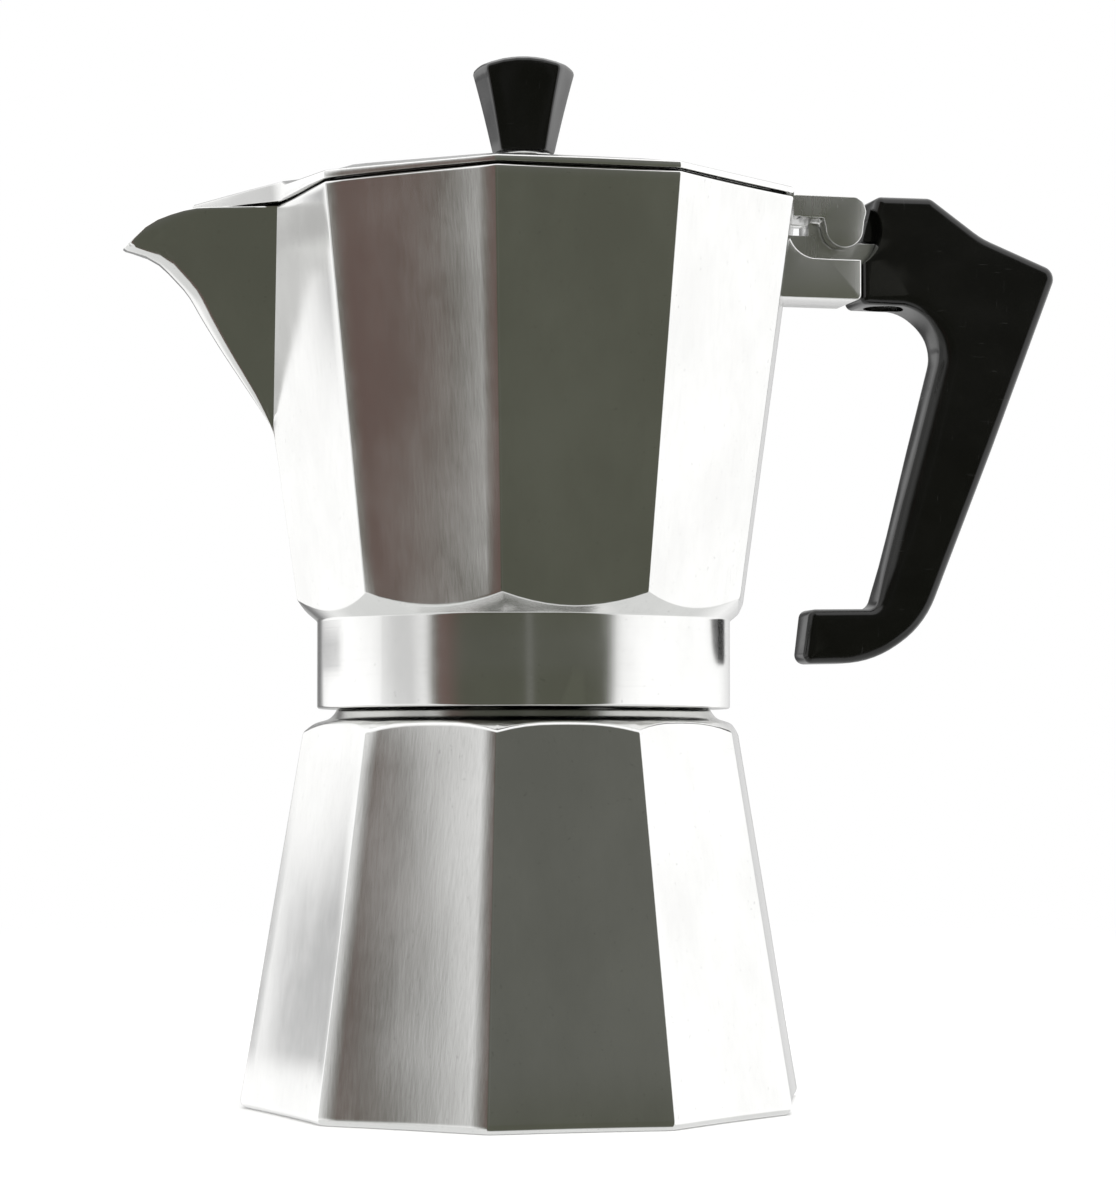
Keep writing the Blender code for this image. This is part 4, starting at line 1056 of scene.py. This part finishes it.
# ------------------------------------------------------------------ handle
HANDLE = [
    (64.3, 149.1, 1.4), (64.3, 157.5, 4.0), (67.5, 169.65, 1.4), (78.3, 169.75, 2.6), (88.6, 162.6, 16.0),
    (104.0, 156.6, 2.6), (77.4, 88.4, 18.5), (67.0, 81.4, 19.5), (53.1, 81.1, 1.8), (54.5, 91.4, 1.6),
    (67.8, 91.6, 2.4), (83.0, 149.1, 8.6),
]


def make_handle():
    def half(x, z):
        return 4.3 + 1.7 * max(0.0, min(1.0, (z - 82.0) / 40.0))

    corners = []
    for i, (x, z, r) in enumerate(HANDLE):
        corners.append((x, z, max(r, 1.4)))
        nx, nz, _ = HANDLE[(i + 1) % len(HANDLE)]
        if abs(nz - z) > 40:
            levels = [100.0, 106.0, 112.0, 118.0, 122.0, 128.0, 136.0]
            for level in levels if nz > z else levels[::-1]:
                corners.append((x + (nx - x) * (level - z) / (nz - z), level, 0))
    def soft(p):
        """2 on the finger side of the grip, 1 elsewhere."""
        line = 67.8 + (83.0 - 67.8) * (p.y - 91.6) / (149.1 - 91.6)
        near = max(0.0, 1.0 - abs(p.x - line) / 5.0)
        span = max(0.0, min(1.0, (p.y - 92.0) / 10.0)) * max(0.0, min(1.0, (150.0 - p.y) / 10.0))
        return 1.0 + 1.1 * min(1.0, near * 1.6) * span

    handle = slab("handle_moulding", corners, half, M_BLACK, edge=2.0, segs=8, step=5.0, soft=soft)
    slot = block("cut_slot", (68.0, 0, 158.0), (12.8, 6.6, 6.7))
    well = lathe("cut_well", [(0, 145.0), (3.8, 145.0), (3.8, 152.6), (2.2, 152.6), (2.2, 156.0), (0, 156.0)], None, 48, at_xy(70.4, 0))
    near = lathe("cut_near", [(0, -9.0), (7.6, -9.0), (7.6, -TONGUE_HALF), (0, -TONGUE_HALF)], None, 72, along_y(PIN_X, PIN_Z))
    far = lathe("cut_far", [(0, TONGUE_HALF), (7.6, TONGUE_HALF), (7.6, 9.0), (0, 9.0)], None, 72, along_y(PIN_X, PIN_Z))
    return cut(handle, [slot, well, near, far], sharp=34.0)


# ------------------------------------------------------------------ small pieces
def slotted(obj, centre, size):
    return cut(obj, [block("cut_slot", centre, size)])


def perforated(name, radius, z0, z1, hole, pitch, reach, mat):
    """Round sheet with punched holes in a close hexagonal pattern."""
    curve = bpy.data.curves.new(name + "_outline", "CURVE")
    curve.dimensions = "2D"
    curve.fill_mode = "BOTH"
    curve.extrude = (z1 - z0) / 2 * MM - 0.00006
    curve.bevel_depth = 0.00006
    curve.bevel_resolution = 1

    def circle(x, y, r, n):
        spline = curve.splines.new("POLY")
        spline.points.add(n - 1)
        for i in range(n):
            t = 2 * math.pi * i / n
            spline.points[i].co = ((x + r * math.cos(t)) * MM, (y + r * math.sin(t)) * MM, 0, 1)
        spline.use_cyclic_u = True

    circle(0, 0, radius - 0.06, 128)
    rows = int(reach / (pitch * 0.866)) + 1
    for j in range(-rows, rows + 1):
        for i in range(-rows - 2, rows + 3):
            x = (i + (j % 2) / 2) * pitch
            y = j * pitch * 0.866
            if math.hypot(x, y) <= reach:
                circle(x, y, hole, 12)
    obj = bpy.data.objects.new(name + "_tmp", curve)
    bpy.context.scene.collection.objects.link(obj)
    bpy.context.view_layer.update()
    mesh = bpy.data.meshes.new_from_object(obj.evaluated_get(bpy.context.evaluated_depsgraph_get()))
    bpy.data.objects.remove(obj, do_unlink=True)
    bpy.data.curves.remove(curve)
    mesh.transform(Matrix.Translation((0, 0, (z0 + z1) / 2 * MM)))
    bm = bmesh.new()
    bm.from_mesh(mesh)
    bpy.data.meshes.remove(mesh)
    return link(name, bm, mat)


def valve_place():
    tilt = math.atan(0.1705 * HC)
    angle = math.radians(88.5)
    axis = Vector((math.cos(angle) * math.cos(tilt), math.sin(angle) * math.cos(tilt), math.sin(tilt)))
    r = boiler_r(48.0) * HC
    point = Vector((r * math.cos(angle), r * math.sin(angle), 48.0)) * MM
    turn = Vector((0, 0, 1)).rotation_difference(axis).to_matrix().to_4x4()
    turn.translation = point
    return turn


def make_valve():
    place = valve_place()
    n = 96

    def rnd(r, s):
        return [(r * math.cos(2 * math.pi * i / n), r * math.sin(2 * math.pi * i / n), s) for i in range(n)]

    def hexagon(flat, s, top=None):
        row = []
        for i in range(n):
            t = 2 * math.pi * i / n
            off = (t + math.pi / 6) % (math.pi / 3) - math.pi / 6
            r = flat / math.cos(off)
            r = min(r, flat * 1.125)
            z = s
            if top:
                z = s - max(0.0, (r - flat)) * 0.9 * top
            row.append((r * math.cos(t), r * math.sin(t), z))
        return row

    rows = [
        rnd(3.4, -6.0), rnd(4.8, -6.0), rnd(5.0, -5.8), rnd(5.0, 1.35), hexagon(6.0, 1.35), hexagon(6.35, 1.45),
        hexagon(6.5, 1.7, -0.3), hexagon(6.5, 3.6), hexagon(6.5, 5.6, 1.0), hexagon(6.3, 6.05, 1.0), rnd(5.4, 6.2), rnd(4.3, 6.2),
        rnd(4.1, 6.0), rnd(2.6, 6.0), rnd(2.4, 6.2), rnd(1.9, 6.2), rnd(1.75, 6.05), rnd(1.75, 4.4), rnd(3.4, 4.4),
    ]
    body = grid("valve_housing", rows, M_BRASS, wrap=True, place=place, sharp=30.0)
    gasket = lathe("valve_washer", [(5.3, 0.3, 0), (7.0, 0.3, 0.25), (7.0, 1.2, 0.25), (5.3, 1.2, 0)], M_FIBRE, 72, place)
    seat = lathe("valve_ring", [(1.5, -5.7, 0.2), (3.1, -5.7, 0.1), (3.1, -4.6, 0.1), (1.5, -4.6, 0.2)], M_BRASS, 48, place)
    pin = lathe(
        "valve_plunger_pin",
        [(0, -4.3), (2.2, -4.3, 0.15), (2.6, -3.9, 0.1), (2.6, -3.3, 0.1), (1.4, -3.1, 0.2), (1.4, 6.9, 0.15), (1.25, 7.4, 0.2), (0.7, 7.6, 0.2), (0, 7.6)],
        M_STEEL, 48, place,
    )
    turns, per, wire, radius, s0, s1 = 5, 28, 0.32, 2.35, -2.6, 3.8
    coil = []
    for i in range(turns * per + 1):
        t = 2 * math.pi * i / per
        z = s0 + (s1 - s0) * i / (turns * per)
        out = Vector((math.cos(t), math.sin(t), 0))
        coil.append([tuple(out * (radius + wire * math.cos(2 * math.pi * j / 10)) + Vector((0, 0, z + wire * math.sin(2 * math.pi * j / 10)))) for j in range(10)])
    first = Vector(sum((Vector(p) for p in coil[0]), Vector()) / 10)
    last = Vector(sum((Vector(p) for p in coil[-1]), Vector()) / 10)
    spring = grid("valve_coil", coil, M_STEEL, start=tuple(first), end=tuple(last), place=place)
    cutter = lathe("cut_valve", [(0, -9.0), (5.3, -9.0), (5.3, 4.0), (0, 4.0)], None, 48, place)
    return body, gasket, seat, pin, spring, cutter


# ------------------------------------------------------------------ build
boiler = make_boiler()
v_body, v_gasket, v_seat, v_pin, v_spring, v_cutter = make_valve()
cut(boiler, [v_cutter], sharp=34.0)
give(boiler, "boiler_body", "cast_body", "boiler")
give(v_body, "boiler_body", "brass", "valve_body")
give(v_gasket, "boiler_body", "fibre_seal", "valve_gasket")
give(v_seat, "boiler_body", "brass", "valve_seat")
give(v_spring, "boiler_body", "steel", "valve_spring")
give(v_pin, "valve_plunger", "steel", "valve_pin")

collector = make_collector()
lug, tongue = make_lug()
give(collector, "collector_body", "cast_body", "collector")
give(lug, "collector_body", "cast_body", "collector")
give(tongue, "collector_body", "cast_body", "collector")

for piece in make_lid():
    give(piece, "lid_body", "cast_body", "lid")

give(make_knob(), "lid_body", "black_moulding", "knob")
give(
    lathe("knob_ring", [(2.2, 174.3, 0.1), (5.6, 174.3, 0.3), (6.0, 174.8, 0.3), (5.6, 175.3, 0.3), (2.2, 175.3, 0.1)], M_STEEL, 72),
    "lid_body", "steel", "knob_washer",
)
give(make_handle(), "collector_body", "black_moulding", "handle")
give(
    lathe("hinge_rivet", [(0, 0.9 - EAR_OUT), (PIN_R - 0.3, 0.9 - EAR_OUT, 0.1), (PIN_R, 1.2 - EAR_OUT, 0.1), (PIN_R, 6.0, 0.1), (PIN_R - 0.05, 6.45, 0.25), (0.9, 6.72, 0.2), (0, 6.75)], M_STEEL, 48, along_y(PIN_X, PIN_Z)),
    "collector_body", "steel", "hinge_pin",
)

column = lathe(
    "column_tube",
    [
        (0, 138.0), (2.6, 137.4, 1.0), (3.8, 135.6, 0.8), (3.8, 89.7, 0.3), (6.0, 89.7, 0.3), (6.0, 92.2, 0), (9.0, 92.2, 0.2), (9.0, 93.4, 0.5),
        (7.6, 95.0, 1.2), (6.0, 128.0, 0), (5.9, 137.0, 1.2), (4.8, 140.0, 1.4), (2.6, 141.6, 0.8), (0, 142.0),
    ],
    M_COLUMN, 72, segs=4,
)
cut(column, [block("cut_window", (0, 0, 133.2), (4.6, 20.0, 4.8))])
give(column, "collector_body", "cast_body", "column")

give(
    lathe(
        "funnel_cup",
        [
            (31.0, 84.3, 0.2), (34.0, 84.3, 0.35), (34.0, 85.2, 0.35), (30.9, 85.2, 0.6), (30.2, 84.4, 0.4), (30.2, 60.4, 1.2), (29.2, 59.4, 1.0),
            (7.2, 51.6, 2.0), (5.2, 50.4, 1.0), (5.2, 44.0, 0.2), (6.1, 44.0, 0.2), (6.1, 50.0, 1.0), (7.6, 50.9, 2.0), (29.6, 58.6, 1.4), (31.0, 60.0, 1.4),
        ],
        M_SHEET, 128, segs=4,
    ),
    "funnel_body", "drawn_aluminium", "funnel_basket",
)
give(lathe("funnel_tube", [(4.1, 6.5, 0.2), (4.9, 6.5, 0.3), (4.9, 49.6, 0.2), (4.1, 49.6, 0.2)], M_SHEET, 64), "funnel_body", "drawn_aluminium", "funnel_stem")
give(perforated("funnel_sieve", 29.8, 60.7, 61.6, 0.6, 3.0, 27.2, M_SHEET), "funnel_body", "drawn_aluminium", "funnel_screen")
give(perforated("filter_disc", 33.6, 88.4, 89.1, 0.45, 2.3, 28.4, M_SHEET), "plate_body", "drawn_aluminium", "filter_plate")
give(
    lathe("seal_ring", [(27.3, 85.5, 0.45), (34.2, 85.5, 0.45), (34.2, 88.1, 0.45), (27.3, 88.1, 0.45)], M_RUBBER, 128, segs=4),
    "gasket_body", "seal_rubber", "gasket",
)

screw = lathe("knob_bolt", [(0, 170.4), (2.9, 170.4, 0.5), (3.6, 170.9, 0.4), (3.6, 172.1, 0.15), (1.8, 172.1, 0.1), (1.8, 185.6, 0.2), (1.3, 186.2, 0.2), (0, 186.2)], M_STEEL, 48)
give(slotted(screw, (0, 0, 170.5), (9.0, 0.9, 1.3)), "lid_body", "steel", "knob_screw")
screw = lathe("handle_bolt", [(0, 149.8), (2.6, 149.8, 0.4), (3.1, 150.2, 0.3), (3.1, 151.3, 0.1), (1.9, 151.3, 0.1), (1.9, 159.0, 0.2), (1.5, 159.6, 0.2), (0, 159.6)], M_STEEL, 48, at_xy(70.4, 0))
give(slotted(screw, (70.4, 0, 149.9), (9.0, 0.8, 1.2)), "collector_body", "steel", "handle_screw")
give(lathe("handle_ring", [(2.2, 151.6, 0.1), (3.4, 151.6, 0.15), (3.4, 152.2, 0.15), (2.2, 152.2, 0.1)], M_STEEL, 48, at_xy(70.4, 0)), "collector_body", "steel", "handle_washer")
give(lathe("knob_bush", [(2.1, 175.9, 0.1), (3.2, 175.9, 0.2), (3.2, 187.0, 0.2), (2.1, 187.0, 0.1)], M_BRASS, 48, wave=lambda t, r, z: 1.0 - (0.02 * (math.cos(24 * t) < 0) if r > 3 else 0.0)), "lid_body", "brass", "knob_insert")


# ------------------------------------------------------------------ floor, light, camera
def make_floor():
    bm = bmesh.new()
    bmesh.ops.create_circle(bm, cap_ends=True, cap_tris=False, segments=96, radius=2.5)
    floor = link("floor", bm, None)
    mat = bpy.data.materials.new("pale_floor")
    mat.use_nodes = True
    tree = mat.node_tree
    tree.nodes.clear()
    n = Nodes(tree)
    out = tree.nodes.new("ShaderNodeOutputMaterial")
    bsdf = tree.nodes.new("ShaderNodeBsdfPrincipled")
    bsdf.inputs["Base Color"].default_value = (0.90, 0.90, 0.895, 1.0)
    bsdf.inputs["Roughness"].default_value = 0.75
    bsdf.inputs["Specular IOR Level"].default_value = 0.1
    glow = tree.nodes.new("ShaderNodeEmission")
    glow.inputs["Color"].default_value = (1.0, 1.0, 1.0, 1.0)
    length = tree.nodes.new("ShaderNodeVectorMath")
    length.operation = "LENGTH"
    n.link(n.coord.outputs["Object"], length.inputs[0])
    fade = n.span(length.outputs["Value"], 0.12, 0.62)
    mixer = tree.nodes.new("ShaderNodeMixShader")
    n.link(fade, mixer.inputs[0])
    n.link(bsdf.outputs[0], mixer.inputs[1])
    n.link(glow.outputs[0], mixer.inputs[2])
    n.link(mixer.outputs[0], out.inputs[0])
    floor.data.materials.append(mat)
    floor.visible_glossy = False
    return floor


make_floor()


def make_world():
    world = bpy.data.worlds.new("studio")
    bpy.context.scene.world = world
    world.use_nodes = True
    tree = world.node_tree
    tree.nodes.clear()
    n = Nodes(tree)
    out = tree.nodes.new("ShaderNodeOutputWorld")
    split = tree.nodes.new("ShaderNodeSeparateXYZ")
    n.link(n.coord.outputs["Generated"], split.inputs[0])
    x, y, z = split.outputs
    azimuth = n.math("MULTIPLY", n.math("ARCTAN2", y, x), 180 / math.pi)
    # angle from the middle of the dark side of the room, in degrees
    off = n.math("SUBTRACT", n.math("MODULO", n.math("ADD", n.math("SUBTRACT", azimuth, DARK_MID), 900.0), 360.0), 180.0)
    lift = n.math("MULTIPLY", n.math("ARCSINE", z), 180 / math.pi)
    left = n.span(off, DARK_LEFT - 3.0, DARK_LEFT + 3.0)
    right = n.span(off, DARK_RIGHT - 5.0, DARK_RIGHT + 5.0, 1.0, 0.0)
    above = n.span(lift, 38.0, 52.0, 1.0, 0.0)
    below = n.span(lift, -74.0, -56.0)
    dark = n.math("MULTIPLY", n.math("MULTIPLY", left, right), n.math("MULTIPLY", above, below))
    warm = n.math("MULTIPLY", n.span(off, DARK_LEFT + 2.0, DARK_LEFT + 7.0), n.span(off, DARK_LEFT + 9.0, DARK_LEFT + 20.0, 1.0, 0.0))
    room = n.mix(n.span(lift, -6.0, 14.0), (0.104, 0.108, 0.083), (0.134, 0.137, 0.120))
    room = n.mix(n.span(off, -50.0, 10.0, 0.16, 0.0), room, (0.05, 0.05, 0.04))
    room = n.mix(warm, room, (0.150, 0.100, 0.088))
    slit = n.math("MULTIPLY", n.span(off, 1.0, 2.0), n.span(off, 4.5, 6.0, 1.0, 0.0))
    room = n.mix(n.math("MULTIPLY", slit, 0.35), room, (0.35, 0.35, 0.34))
    # softer greys between the white walls, by angle from the middle of the dark side
    ramp = tree.nodes.new("ShaderNodeValToRGB")
    n.link(n.span(off, -180.0, 180.0, smooth=False), ramp.inputs[0])
    stops = [
        (-180, 0.45), (-170, 0.40), (-163, 0.15), (-152, 0.18), (-148, 0.86), (-140, 0.92), (-128, 1.0), (-108, 1.0), (-92, 0.95), (-76, 0.60), (-64, 0.58),
        (-54, 0.88), (50, 0.80), (62, 0.97), (80, 1.0), (120, 1.0), (140, 0.95), (152, 0.78), (165, 0.62), (180, 0.45),
    ]
    ramp.color_ramp.elements[0].position = 0.0
    ramp.color_ramp.elements[0].color = (stops[0][1],) * 3 + (1.0,)
    ramp.color_ramp.elements[1].position = 1.0
    ramp.color_ramp.elements[1].color = (stops[-1][1],) * 3 + (1.0,)
    for angle, value in stops[1:-1]:
        e = ramp.color_ramp.elements.new((angle + 180.0) / 360.0)
        e.color = (value, value, value, 1.0)
    # the greys hold near the horizon; overhead the room is white, low down a little greyer
    level = n.math("MULTIPLY", n.span(lift, -30.0, -12.0), n.span(lift, 22.0, 44.0, 1.0, 0.0))
    overall = n.mix(n.span(lift, -34.0, -18.0), (0.66, 0.665, 0.66), (1.0, 1.0, 1.0))
    greys = n.mix(level, overall, ramp.outputs["Color"])
    patch = n.math("MULTIPLY", n.span(off, -151.0, -148.0), n.span(off, -125.0, -118.0, 1.0, 0.0))
    patch = n.math("MULTIPLY", patch, n.math("MULTIPLY", n.span(lift, 0.2, 2.4), n.span(lift, 5.0, 6.5, 1.0, 0.0)))
    greys = n.mix(n.math("MULTIPLY", patch, 0.9), greys, (0.38, 0.38, 0.385))
    scale = tree.nodes.new("ShaderNodeVectorMath")
    scale.operation = "SCALE"
    n.link(greys, scale.inputs[0])
    scale.inputs["Scale"].default_value = 1.28
    colour = n.mix(dark, scale.outputs[0], room)
    path = tree.nodes.new("ShaderNodeLightPath")
    seen = n.mix(path.outputs["Is Camera Ray"], colour, (1.0, 1.0, 1.0))
    bg = tree.nodes.new("ShaderNodeBackground")
    n.link(seen, bg.inputs["Color"])
    n.link(bg.outputs[0], out.inputs["Surface"])
    return world


DARK_MID = -103.0
DARK_LEFT = -53.0
DARK_RIGHT = 50.5
make_world()


def area_light(name, location, target, size, energy):
    data = bpy.data.lights.new(name, "AREA")
    data.shape = "DISK"
    data.size = size
    data.energy = energy
    light = bpy.data.objects.new(name, data)
    bpy.context.scene.collection.objects.link(light)
    light.location = location
    light.rotation_mode = "QUATERNION"
    light.rotation_quaternion = (Vector(target) - Vector(location)).to_track_quat("-Z", "Y")
    light.visible_glossy = False
    light.visible_camera = False
    return light


area_light("softbox_top", (0.15, -0.35, 1.3), (0, 0, 0.05), 0.9, 9.0)
area_light("softbox_side", (-1.0, -0.5, 0.7), (0, 0, 0.08), 0.7, 5.0)


def make_camera():
    data = bpy.data.cameras.new("camera")
    data.sensor_fit = "AUTO"
    data.sensor_width = 36.0
    data.lens = 94.3
    data.clip_start, data.clip_end = 0.01, 50.0
    cam = bpy.data.objects.new("camera", data)
    bpy.context.scene.collection.objects.link(cam)
    cam.location = (-0.13092, -0.56708, 0.064)
    # nearly level, so that upright edges stay parallel as in the photo; the small shift frames the pot
    yaw, pitch = math.radians(-13.0), math.radians(1.41)
    look = Vector((-math.sin(yaw) * math.cos(pitch), math.cos(yaw) * math.cos(pitch), math.sin(pitch)))
    data.shift_x, data.shift_y = 0.02875, 0.0646
    cam.rotation_mode = "QUATERNION"
    cam.rotation_quaternion = look.to_track_quat("-Z", "Y")
    bpy.context.scene.camera = cam
    return cam


make_camera()

scene = bpy.context.scene
scene.view_settings.view_transform = "Standard"
scene.view_settings.look = "None"
scene.view_settings.exposure = 0.0
scene.view_settings.gamma = 1.0
